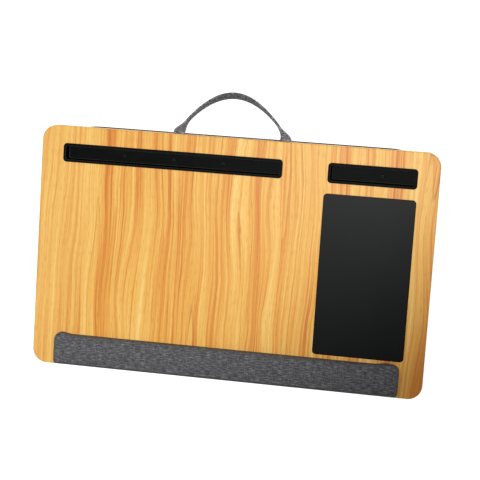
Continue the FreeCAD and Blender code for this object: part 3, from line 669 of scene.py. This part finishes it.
def plated_steel(name, colour, roughness, metallic, specular):
    """Turned steel under black oxide or zinc: fine scuffs 1.1 mm long, a little lighter."""
    material, shader, add = new_material(name, Roughness=roughness, Metallic=metallic,
                                         Specular_IOR_Level=specular)
    scuffs = add("TexNoise", {"Vector": add("TexCoord", output="Object"),
                              "Scale": 1 / (1.1 * MM), "Detail": 3.0})
    share = add("ValToRGB", [scuffs], stops=((0.4, 0.0), (0.7, 1.0)))
    lighter = tuple(min(1.0, value * 1.6 + 0.01) for value in colour)
    shade = add("Mix", {0: share, 6: colour, 7: lighter}, 2, data_type="RGBA")
    relief = add("Bump", {"Height": scuffs, "Strength": 1.0, "Distance": 0.01 * MM})
    connect(shader, {"Base Color": shade, "Normal": relief})
    return material


def sewing_thread(name, colour):
    """Twisted polyester thread: dull, with a slanting twist about every 0.5 mm."""
    material, shader, add = new_material(name, Roughness=0.7, Sheen_Weight=0.2)
    slant = add("VectorMath", [add("TexCoord", output="Object"), (1, 1, 1)], "Value",
                operation="DOT_PRODUCT")
    twist = add("Math", [slant, 2 * np.pi / (0.5 * MM)], operation="MULTIPLY")
    twist = add("Math", [twist], operation="SINE")
    level = add("Math", [twist, 0.5, 0.5], operation="MULTIPLY_ADD")
    deep = tuple(value * 0.6 for value in colour)
    connect(shader, {"Base Color": add("Mix", {0: level, 6: deep, 7: colour}, 2,
                                       data_type="RGBA")})
    return material


def studio_floor():
    """Opal acrylic light table: a milky sheet that glows evenly, so shadows on it stay faint."""
    material, shader, add = new_material("opal_acrylic", Roughness=0.9, Specular_IOR_Level=0.1,
                                         Emission_Color=(1.0, 1.0, 1.0), Emission_Strength=0.93)
    place = add("Mapping", {"Vector": add("TexCoord", output="Object"),
                            "Scale": cells(333, 333)})
    mottle = add("TexNoise", {"Vector": place, "Scale": 1.0, "Detail": 2.0},
                 noise_dimensions="2D")
    mottle = add("ValToRGB", [mottle], stops=((0.3, 0.0), (0.7, 1.0)))
    connect(shader, {"Base Color": add("Mix", {0: mottle, 6: linear("b2b2b2"),
                                               7: linear("aeaeae")}, 2, data_type="RGBA")})
    return material


# ---------------------------------------------------------------- sizes and colours

def length_setting(name, note, default):
    """A length in metres that a user may change."""
    return FloatProperty(name=name, description=note, default=default, min=0.0, unit="LENGTH",
                         precision=5)


def colour_setting(name, note, hex_colour):
    """A colour that a user may change, kept linear."""
    return FloatVectorProperty(name=name, description=note, subtype="COLOR", size=3, min=0.0,
                               max=1.0, default=linear(hex_colour))


class LapDeskColours(bpy.types.PropertyGroup):
    """Colours of the desk's finishes."""
    grain_dark: colour_setting("Dark grain", "Darkest bands of the laminate", "c17129")
    # grain_orange is also the colour of the painted shade near the board's right front corner
    grain_orange: colour_setting("Orange grain", "Orange bands of the laminate", "d68f3c")
    grain_honey: colour_setting("Honey grain", "The laminate's middle colour", "dea64d")
    grain_light: colour_setting("Light grain", "Light bands of the laminate", "e5b55e")
    # grain_pale is also the colour of the painted light near the left edge and of the painted
    # highlight on the board's top edge
    grain_pale: colour_setting("Pale grain", "Lightest bands and the worn edge", "ecc477")
    grain_line: colour_setting("Grain line", "Thin dark lines in the laminate", "9c5a20")
    plastic: colour_setting("Tray plastic", "Moulded trays", "0a0b0b")
    pad_sheet: colour_setting("Mouse pad", "The mouse pad's sheet", "0c0d0d")
    linen: colour_setting("Linen", "Wrist rest and cushion band", "525254")
    linen_slub: colour_setting("Linen slubs", "Light slubs in the linen", "7e7e81")
    strap: colour_setting("Handle", "Handle fabric", "646467")
    strap_slub: colour_setting("Handle slubs", "Light slubs in the handle fabric", "bebec2")


class LapDeskSizes(bpy.types.PropertyGroup):
    """Sizes of the desk's soft pieces."""
    rest_swell: length_setting("Rest swell", "How far the wrist rest's foam may swell", 1.6 * MM)
    cushion_swell: length_setting("Cushion swell", "How far the cushion may swell", 3.0 * MM)
    strap_thickness: length_setting("Strap thickness", "Thickness of the handle's ribbon",
                                    2.6 * MM)
    stitch: length_setting("Stitch", "Length of a stitch and its gap", 3.2 * MM)


# ---------------------------------------------------------------- stage

FLOOR_HALF, FLOOR_DROP = 30.0, 0.5 * MM
FILL_LIGHT = 0.25              # strength of the even white light from all round
CAMERA_PLACE = (0.2802, 0.2689, 1.8595)
CAMERA_TURN = (-6.912, 8.997, 3.829)                     # degrees about x, y and z
CAMERA_LENS, CAMERA_SENSOR = 100.13, 36.0                # mm


def hang_light(name, kind, place, target, power, **settings):
    """Hang a light at a place, aimed at a target."""
    lamp = bpy.data.lights.new(name, kind)
    lamp.energy = power
    for setting, value in settings.items():
        setattr(lamp, setting, value)
    light = bpy.data.objects.new(name, lamp)
    light.location = place
    direction = Vector(target) - Vector(place)
    light.rotation_euler = direction.to_track_quat("-Z", "Y").to_euler()
    bpy.context.scene.collection.objects.link(light)


class OBJECT_OT_lap_desk_stage(bpy.types.Operator):
    """Lay the pale floor, hang the soft studio lights and set up the camera"""
    bl_idname = "object.lap_desk_stage"
    bl_label = "Stage"

    def execute(self, context):
        scene = context.scene
        side = np.array([-FLOOR_HALF, FLOOR_HALF])
        points = np.stack([*np.meshgrid(side, side), np.full((2, 2), -FLOOR_DROP)], axis=-1)
        floor = new_piece("studio_floor", points, grid_quads(2, 2), studio_floor())
        hang_light("overhead_light", "AREA", (0.0, 0.50, 2.2), (0.0, 0.50, 0.0), 9.0,
                   shape="RECTANGLE", size=1.6, size_y=1.2)
        hang_light("key_light", "SPOT", (0.07, 0.20, 2.71), (-0.47, 0.69, 0.05), 216.0,
                   spot_size=np.radians(48.2), spot_blend=0.35, shadow_soft_size=0.12)
        world = bpy.data.worlds.new("soft_studio")
        world.use_nodes = True
        connect(world.node_tree.nodes["Background"],
                {"Color": (1.0, 1.0, 1.0), "Strength": FILL_LIGHT})
        scene.world = world
        scene.view_settings.view_transform = "Standard"
        camera = bpy.data.cameras.new("studio_camera")
        camera.lens, camera.sensor_width = CAMERA_LENS, CAMERA_SENSOR
        holder = bpy.data.objects.new("studio_camera", camera)
        holder.matrix_world = Matrix.LocRotScale(Vector(CAMERA_PLACE),
                                                 Euler(np.radians(CAMERA_TURN)), None)
        scene.collection.objects.link(holder)
        scene.camera = holder
        return {"FINISHED"}


# ---------------------------------------------------------------- rigid pieces

class OBJECT_OT_lap_desk_board(bpy.types.Operator):
    """Finish the board and the panel under it"""
    bl_idname = "object.lap_desk_board"
    bl_label = "Board and panel"

    def execute(self, context):
        dress(laminate(context.scene.lap_desk_colours), "board")
        dress(hardboard(), "base_panel")
        return {"FINISHED"}


class OBJECT_OT_lap_desk_trays(bpy.types.Operator):
    """Finish the tablet tray and the phone tray"""
    bl_idname = "object.lap_desk_trays"
    bl_label = "Trays"

    def execute(self, context):
        dress(moulded_abs(context.scene.lap_desk_colours), "tablet_tray", "phone_tray")
        return {"FINISHED"}


class OBJECT_OT_lap_desk_mouse_pad(bpy.types.Operator):
    """Finish the mouse pad"""
    bl_idname = "object.lap_desk_mouse_pad"
    bl_label = "Mouse pad"

    def execute(self, context):
        dress(pad_sheet(context.scene.lap_desk_colours), "mouse_pad")
        return {"FINISHED"}


class OBJECT_OT_lap_desk_hardware(bpy.types.Operator):
    """Finish the screws, washers, tapes, strips and fills"""
    bl_idname = "object.lap_desk_hardware"
    bl_label = "Hardware and fills"

    def execute(self, context):
        dress(plated_steel("zinc_plated_steel", linear("a8aaad"), 0.34, 1.0, 0.5),
              "front_panel_screws", "pad_panel_screws", "handle_tail_screws",
              "handle_tail_washers")
        dress(bead_fill(), "left_fill", "right_fill", "wrist_rest_foam")
        for node, name, colour, speck, roughness, size in (
                ("wrist_rest_tape", "foam_tape", "d6d5cd", "b9b8af", 0.8, 1.1),
                ("wrist_rest_strip", "extruded_styrene", "5a5a5a", "6c6c6c", 0.5, 5.0),
                ("cushion_divider", "nonwoven_divider", "232324", "333336", 0.9, 0.7)):
            dress(plain_strip(name, linear(colour), linear(speck), roughness, size), node)
        return {"FINISHED"}


HEAD_RADIUS, HEAD_CROWN, HEAD_HEIGHT = 3.2 * MM, 1.2 * MM, 2.0 * MM
SHANK_RADIUS, POINT_LENGTH = 1.75 * MM, 1.5 * MM
BLADE_HALF, BLADE_SOFT = 0.42 * MM, 0.05 * MM                        # arms of the cross
RECESS_RADIUS, RECESS_SOFT, RECESS_DEPTH = 1.6 * MM, 0.06 * MM, 1.0 * MM
FACE_POINTS = 16               # profile points across the flat of a screw's head


def pan_head_screw(tip, top):
    """A screw's points: a profile turned round z, of crowned head, underside, shank and point.

    The head's face sinks by depth / (1 + e^((min(|x|, |y|) - blade half) / soft))
    / (1 + e^((r - recess radius) / soft)), which is a cross with soft edges.
    """
    arc = np.linspace(0, np.pi / 2, 6)
    flat = HEAD_RADIUS - HEAD_CROWN
    profile = np.concatenate([
        np.c_[np.linspace(0, flat, FACE_POINTS), np.full(FACE_POINTS, top)],
        np.c_[HEAD_RADIUS - HEAD_CROWN * (1 - np.sin(arc)),
              top - HEAD_CROWN * (1 - np.cos(arc))][1:],
        [[HEAD_RADIUS, top - HEAD_HEIGHT], [SHANK_RADIUS, top - HEAD_HEIGHT],
         [SHANK_RADIUS, tip + POINT_LENGTH], [0, tip]]])
    turn = np.linspace(0, 2 * np.pi, 48, endpoint=False)
    x, y = (profile[:, :1] * wave for wave in (np.cos(turn), np.sin(turn)))
    z = np.broadcast_to(profile[:, 1:], x.shape).copy()
    face = slice(FACE_POINTS)
    blade = 1 / (1 + np.exp((np.minimum(np.abs(x), np.abs(y)) - BLADE_HALF) / BLADE_SOFT))
    within = 1 / (1 + np.exp((profile[face, :1] - RECESS_RADIUS) / RECESS_SOFT))
    z[face] -= RECESS_DEPTH * blade[face] * within
    return np.stack([x, y, z], axis=-1)


class OBJECT_OT_lap_desk_tray_screws(bpy.types.Operator):
    """Turn the trays' black pan-head screws, with their cross recesses"""
    bl_idname = "object.lap_desk_tray_screws"
    bl_label = "Tray screws"

    def execute(self, context):
        (low, high), phone = box_of("tablet_tray_screws"), box_of("phone_tray_screw")
        places = np.zeros((4, 3))
        places[:3, 0] = np.linspace(low[0] + HEAD_RADIUS, high[0] - HEAD_RADIUS, 3)
        places[:3, 1] = (low[1] + high[1]) / 2
        places[3, :2] = (phone[0][:2] + phone[1][:2]) / 2
        forms = pan_head_screw(low[2], high[2]) + places[:, None, None]
        black = plated_steel("black_oxide_steel", linear("090909"), 0.45, 0.1, 0.08)
        screws = repeat("tray_screws_cross", forms, black)
        screws.data.set_sharp_from_angle(angle=np.radians(40))
        finish(screws, "desk", "black_screw", "tablet_tray_screws", "phone_tray_screw")
        return {"FINISHED"}


# ---------------------------------------------------------------- padded pieces

REST_SLIM, REST_LOW = 0.5 * MM, 0.9 * MM       # room for the swell at the sides and the top
REST_ROUND = 5.5 * MM                          # radius of the edge between side and top
REST_FRONT, REST_REAR = 2.8 * MM, 6.5 * MM     # radii of the outline's corners
REST_FOLD = 2.4 * MM                           # how far the rear corners stand out


class OBJECT_OT_lap_desk_wrist_rest(bpy.types.Operator):
    """Blow up the wrist rest and cover it with linen"""
    bl_idname = "object.lap_desk_wrist_rest"
    bl_label = "Wrist rest"

    def execute(self, context):
        """The rest is rings round its outline, closed by a patch below and one above.

        The rings' profile goes up from the bottom edge: a small fold at the board, an upright
        side, a quarter circle of the top round, and then the patch.
        """
        low, high = box_of("wrist_rest_cover")
        middle, half = (low + high) / 2, (high - low) / 2
        bottom, top = low[2] + 0.05 * MM, high[2] - REST_LOW
        ring, normals, count_x, count_y = outline(half[0] - REST_SLIM, half[1] - REST_SLIM,
                                                  REST_FRONT, REST_REAR, 4 * MM)
        arc = np.linspace(0, np.pi / 2, 6)
        hem = np.array([[3.0, 0], [1.0, 0], [0.2, 0.8], [0, 2.2]]) * MM + (0, bottom)
        profile = np.concatenate([hem, np.c_[REST_ROUND * (1 - np.cos(arc)),
                                             top - REST_ROUND * (1 - np.sin(arc))]])
        walls = ring_rows(ring, normals, profile)
        under, over = (patch(row, count_x, count_y) for row in (walls[0], walls[-1]))
        under = under[:, ::-1]
        cloth = ring_cloth(ring, normals, profile)
        shift = (middle[0], middle[1], 0)
        grids = [(walls + shift, True), (under + shift, False), (over + shift, False)]
        held = np.concatenate([np.repeat([1.0, 1.0, 0.8, 0.0] + [0.0] * len(arc), len(ring)),
                               np.ones(under[..., 0].size), np.zeros(over[..., 0].size)])
        blown = inflate(grids, held, context.scene.lap_desk_sizes.rest_swell, bottom)
        # the rear corners stand out where the cover is folded round the foam's ends:
        # y grows by fold rear^2 e^(-((distance from the end - peak) / spread)^2)
        for grid in blown:
            away = np.abs(grid[..., 0] - middle[0])
            rear = np.clip((grid[..., 1] - middle[1]) / half[1], 0, 1)
            right = grid[..., 0] > middle[0]
            peak, spread = np.where(right, 17 * MM, 10 * MM), np.where(right, 11 * MM, 8 * MM)
            grid[..., 1] += (REST_FOLD * rear ** 2
                             * np.exp(-((half[0] - away - peak) / spread) ** 2))
        colours = context.scene.lap_desk_colours
        # turned sets how much painted shade the rest's cover gets at its front and ends
        linen = melange_linen("melange_linen_rest", colours.linen, colours.linen_slub,
                              turned=0.82)
        rest = smooth(assemble("wrist_rest", [
            (blown[0], cloth, True), (blown[1], under[..., :2], False),
            (blown[2], over[..., :2], False)], linen))
        finish(rest, "desk", "linen", "wrist_rest_cover")
        return {"FINISHED"}


CUSHION_CORNER, BASE_ROUND = 60 * MM, 14 * MM  # radii of the outline's corners and base edge
SEAM_HEIGHT = 18 * MM                          # where the band meets the base covers
BAND_THICK, COVER_THICK = 1.4 * MM, 1.2 * MM
PIPING_RADIUS, PIPING_OUT = 1.5 * MM, 0.6 * MM
SEAM_RADIUS, SEAM_SUNK = 1.1 * MM, 0.2 * MM    # the cord between the lobes
ARCH_RADIUS, ARCH_TOP = 30 * MM, 15 * MM       # the valley's arc
LIP_RADIUS, LIP_END = 16 * MM, 34 * MM         # the arcs that run it out, each side
LIP_START = LIP_END * ARCH_RADIUS / (ARCH_RADIUS + LIP_RADIUS)       # where the arcs touch


def valley_height(x):
    """Height of the arched valley over the floor: an arc whose top is in the middle, run out
    level by a smaller arc at each side."""
    away = np.abs(x)
    arch = ARCH_TOP - ARCH_RADIUS + np.sqrt(np.maximum(ARCH_RADIUS ** 2 - away ** 2, 0))
    lip = LIP_RADIUS - np.sqrt(np.maximum(LIP_RADIUS ** 2 - (away - LIP_END) ** 2, 0))
    return np.where(away < LIP_START, arch, np.where(away < LIP_END, lip, 0.0))


class OBJECT_OT_lap_desk_cushion(bpy.types.Operator):
    """Blow up the two-lobed cushion, with its linen band, knitted base and piping"""
    bl_idname = "object.lap_desk_cushion"
    bl_label = "Cushion"

    def execute(self, context):
        """The skin is rings round the cushion's outline, from the hem down to the edge of the
        base, closed by a patch.  Below the seam each height z becomes max(z, valley(x)), so the
        base arches between the two lobes."""
        high = box_of("cushion_band", "left_base_cover", "right_base_cover")[1]
        ring, normals, count_x, count_y = outline(high[0], high[1], CUSHION_CORNER,
                                                  CUSHION_CORNER, 7 * MM)
        arc = np.linspace(0, np.pi / 2, 6)
        upright = np.array([46, 42, 37, 32, 27, 22, 19.5]) * MM
        wall = np.concatenate([
            [[8.2 * MM, high[2]], [4 * MM, high[2]], [0.8 * MM, high[2]], [0, high[2] - 0.8 * MM]],
            np.c_[np.zeros(len(upright)), upright], [[0.3 * MM, SEAM_HEIGHT]]])
        base = np.concatenate([
            [[0.3 * MM, SEAM_HEIGHT], [0, SEAM_HEIGHT - 1.5 * MM]],
            np.c_[BASE_ROUND * (1 - np.cos(arc)), BASE_ROUND * (1 - np.sin(arc))]])
        band, lower = (ring_rows(ring, normals, profile) for profile in (wall, base))
        under = patch(lower[-1], count_x, count_y)
        for grid in (lower, under):
            grid[..., 2] = np.maximum(grid[..., 2], valley_height(grid[..., 0]))
        # the hem, the seam and the middle line are held
        hold_band = np.repeat([1.0] * 5 + [0.0] * 5 + [0.3, 1.0], len(ring))
        hold_lower, hold_under = (np.where(np.abs(grid[..., 0]) < 0.01 * MM, 1.0, 0.0)
                                  for grid in (lower, under))
        hold_lower[0] = 1.0
        held = np.concatenate([hold_band, hold_lower.ravel(), hold_under.ravel()])
        blown = inflate([(band, True), (lower, True), (under, False)], held,
                        context.scene.lap_desk_sizes.cushion_swell, 0.0)
        colours = context.scene.lap_desk_colours
        linen = melange_linen("melange_linen_band", colours.linen, colours.linen_slub)
        knit = knit_mesh()
        # the band's cloth runs straight round: perimeter by height
        band_cloth = np.stack(np.meshgrid(lengths_along(ring, append=ring[:1]),
                                          -lengths_along(wall)), axis=-1)
        piece = assemble("cushion_band_cloth", [(blown[0], band_cloth, True)], linen)
        modify(piece, "SOLIDIFY", thickness=BAND_THICK, offset=-1.0)
        finish(smooth(piece), "desk", "linen", "cushion_band")
        lower_cloth = ring_cloth(ring, normals, base)
        middle = len(ring) // 2
        skirt = np.concatenate([blown[1], blown[1][:, :1]], axis=1)
        for side, columns, patch_columns in (
                ("right", slice(0, middle + 1), slice(count_x, None)),
                ("left", slice(middle, None), slice(0, count_x + 1))):
            lobe = assemble(f"{side}_lobe_cover", [
                (skirt[:, columns], lower_cloth[:, columns], False),
                (blown[2][:, patch_columns][:, ::-1], under[:, patch_columns, :2][:, ::-1],
                 False)], knit)
            modify(lobe, "SOLIDIFY", thickness=COVER_THICK, offset=-1.0)
            finish(smooth(lobe), "desk", "base_mesh", f"{side}_base_cover")
        # piping round the seam and the cord of the seam between the lobes
        piping_path = blown[1][0] + np.c_[normals, np.zeros(len(normals))] * PIPING_OUT
        piping = cord_piece("cushion_piping", piping_path, PIPING_RADIUS, knit)
        finish(smooth(piping), "desk", "base_mesh")
        seam_path = np.concatenate([blown[1][1:, 0], blown[2][1:-1, count_x],
                                    blown[1][:0:-1, middle]])
        cord = cord_piece("cushion_seam_cord", seam_path - (0, 0, SEAM_SUNK), SEAM_RADIUS, knit,
                          side=(1.0, 0.0, 0.0))
        finish(smooth(cord), "desk", "base_mesh")
        return {"FINISHED"}


# ---------------------------------------------------------------- handle

STRAP_X, STRAP_ROOT, STRAP_Z = -10.9 * MM, 170.2 * MM, 51.5 * MM     # middle of the roots
STRAP_HALF_SPAN, STRAP_REACH = 74.0 * MM, 56.7 * MM                  # the loop's half sizes
STRAP_PINCH = 0.10                                                   # k in the loop's formula
STRAP_WIDTH = 16 * MM
TAIL_END, TAIL_POINTS = 147.6 * MM, 20                               # under the board
STITCH_IN, STITCH_SIZE = 2.0 * MM, (2.2 * MM, 0.7 * MM, 0.6 * MM)    # from the edge, each way


def strap_path(angle):
    """Centre line of the handle's loop, its direction, and the ribbon's roll about it.

    x = centre - a cos t, y = root + rise (sin t - k sin 3t), each moved inwards by
    lead (width / 2) (1 - cos roll), as the ribbon turns about a line near its inner edge; lead
    is 0.4, and 0.7 at the roots.
    The ribbon stands up from flat to 85 degrees on the left and 77 on the right within
    30 degrees of t, and leans back to 59 degrees at the top of the loop.
    """
    rise, flat = STRAP_REACH / (1 + STRAP_PINCH), np.zeros_like(angle)
    along = np.stack([STRAP_HALF_SPAN * np.sin(angle),
                      rise * (np.cos(angle) - 3 * STRAP_PINCH * np.cos(3 * angle)), flat], axis=1)
    along /= np.linalg.norm(along, axis=1, keepdims=True)
    rest = 1 - np.minimum(1, np.minimum(angle, np.pi - angle) / np.radians(30))
    stand = 81 + 4 * np.cos(angle)
    roll = np.radians(stand * (1 - rest ** 2) - 22 * np.sin(angle) ** 6)
    place = np.stack([STRAP_X - STRAP_HALF_SPAN * np.cos(angle),
                      STRAP_ROOT + rise * (np.sin(angle) - STRAP_PINCH * np.sin(3 * angle)),
                      flat + STRAP_Z], axis=1)
    lead = 0.40 + 0.30 * rest
    inward = np.stack([along[:, 1], -along[:, 0], flat], axis=1)
    place += inward * (lead * STRAP_WIDTH / 2 * (1 - np.cos(roll)))[:, None]
    return place, along, roll


def ribbon_section(half_width, half_thick):
    """A flat section with half-round edges, as places across the ribbon and off its face."""
    flat = np.linspace(half_width - half_thick, half_thick - half_width, 7)
    bend = np.linspace(np.pi / 2, 3 * np.pi / 2, 7)[1:-1]
    top = np.c_[np.r_[flat, half_thick - half_width + half_thick * np.cos(bend)],
                np.r_[np.full(7, half_thick), half_thick * np.sin(bend)]]
    return np.concatenate([top, -top])


class OBJECT_OT_lap_desk_handle(bpy.types.Operator):
    """Twist the carry handle's ribbon out from under the board and sew its edges"""
    bl_idname = "object.lap_desk_handle"
    bl_label = "Handle"

    def execute(self, context):
        """The ribbon carries its section along its path: point = path + p across + q face,
        where across = outward cos roll + up sin roll.  Its tails run straight back under the
        board."""
        sizes, colours = context.scene.lap_desk_sizes, context.scene.lap_desk_colours
        place, along, roll = strap_path(np.linspace(0, np.pi, 129))
        tail_y = np.linspace(TAIL_END, STRAP_ROOT, TAIL_POINTS + 1)[:-1]
        left, right = (np.c_[np.full(TAIL_POINTS, end[0]), tail_y,
                             np.full(TAIL_POINTS, STRAP_Z)] for end in (place[0], place[-1]))
        path = np.concatenate([left, place, right[::-1]])
        back = np.tile([[0, 1.0, 0]], (TAIL_POINTS, 1))
        ahead = np.concatenate([back, along, -back])
        turned = np.pad(roll, TAIL_POINTS)[:, None]
        outward = np.c_[-ahead[:, 1], ahead[:, 0], np.zeros(len(ahead))]
        across = outward * np.cos(turned) + (0, 0, 1.0) * np.sin(turned)
        face = np.cross(ahead, across)
        half_wide, half_thick = STRAP_WIDTH / 2, sizes.strap_thickness / 2
        section = ribbon_section(half_wide, half_thick)
        rings = (path[:, None] + section[None, :, :1] * across[:, None]
                 + section[None, :, 1:] * face[:, None])
        length = lengths_along(path)
        cloth = np.stack(np.meshgrid(lengths_along(section, append=section[:1]),
                                     np.r_[length[0], length, length[-1]]), axis=-1)
        # the handle's cloth gets painted shade round the middle of its length
        fabric = melange_linen("woven_handle_fabric", colours.strap, colours.strap_slub,
                               painted_shade_middle=length[-1] / 2)
        strap = smooth(assemble("handle_ribbon",
                                [(drawn_together(rings, path), cloth, True)], fabric))
        finish(strap, None, "handle_fabric", "handle_strap", "left_handle_tail",
               "right_handle_tail")
        # two rows of stitches on each face, a little in from the edges
        count = int(length[-1] / sizes.stitch)
        at = (np.arange(count) + 0.5) * length[-1] / count
        line, way, over, out = (
            np.stack([np.interp(at, length, part[:, axis]) for axis in range(3)], axis=1)
            for part in (path, ahead, across, face))
        rows = [(line + offset * over + side * half_thick * out, way, side * out)
                for offset in (STITCH_IN - half_wide, half_wide - STITCH_IN)
                for side in (-1.0, 1.0)]
        centres, way, out = (np.concatenate(part) for part in zip(*rows))
        thread = sewing_thread("grey_polyester_thread", linear("6a6a6e"))
        sewn = repeat("handle_stitches", stitch_forms(centres, way, out, *STITCH_SIZE), thread)
        finish(sewn, None, "handle_fabric")
        for piece in (strap, sewn):
            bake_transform(piece)
        return {"FINISHED"}


# ---------------------------------------------------------------- panel and registration

STEPS = (OBJECT_OT_lap_desk_stage, OBJECT_OT_lap_desk_board, OBJECT_OT_lap_desk_trays,
         OBJECT_OT_lap_desk_mouse_pad, OBJECT_OT_lap_desk_tray_screws,
         OBJECT_OT_lap_desk_hardware, OBJECT_OT_lap_desk_wrist_rest,
         OBJECT_OT_lap_desk_cushion, OBJECT_OT_lap_desk_handle)


class VIEW3D_PT_lap_desk(bpy.types.Panel):
    """Sidebar panel with the desk's settings and steps"""
    bl_label = "Lap desk"
    bl_space_type = "VIEW_3D"
    bl_region_type = "UI"
    bl_category = "Lap desk"

    def draw(self, context):
        column = self.layout.column()
        for settings in (context.scene.lap_desk_sizes, context.scene.lap_desk_colours):
            for name in settings.__annotations__:
                column.prop(settings, name)
        for step in STEPS:
            column.operator(step.bl_idname)


CLASSES = (LapDeskSizes, LapDeskColours, *STEPS, VIEW3D_PT_lap_desk)


def register():
    for cls in CLASSES:
        bpy.utils.register_class(cls)
    bpy.types.Scene.lap_desk_sizes = PointerProperty(type=LapDeskSizes)
    bpy.types.Scene.lap_desk_colours = PointerProperty(type=LapDeskColours)


def unregister():
    del bpy.types.Scene.lap_desk_colours
    del bpy.types.Scene.lap_desk_sizes
    for cls in reversed(CLASSES):
        bpy.utils.unregister_class(cls)


def main():
    register()
    for step in STEPS:
        group, name = step.bl_idname.split(".")
        getattr(getattr(bpy.ops, group), name)()


if __name__ == "__main__":
    main()
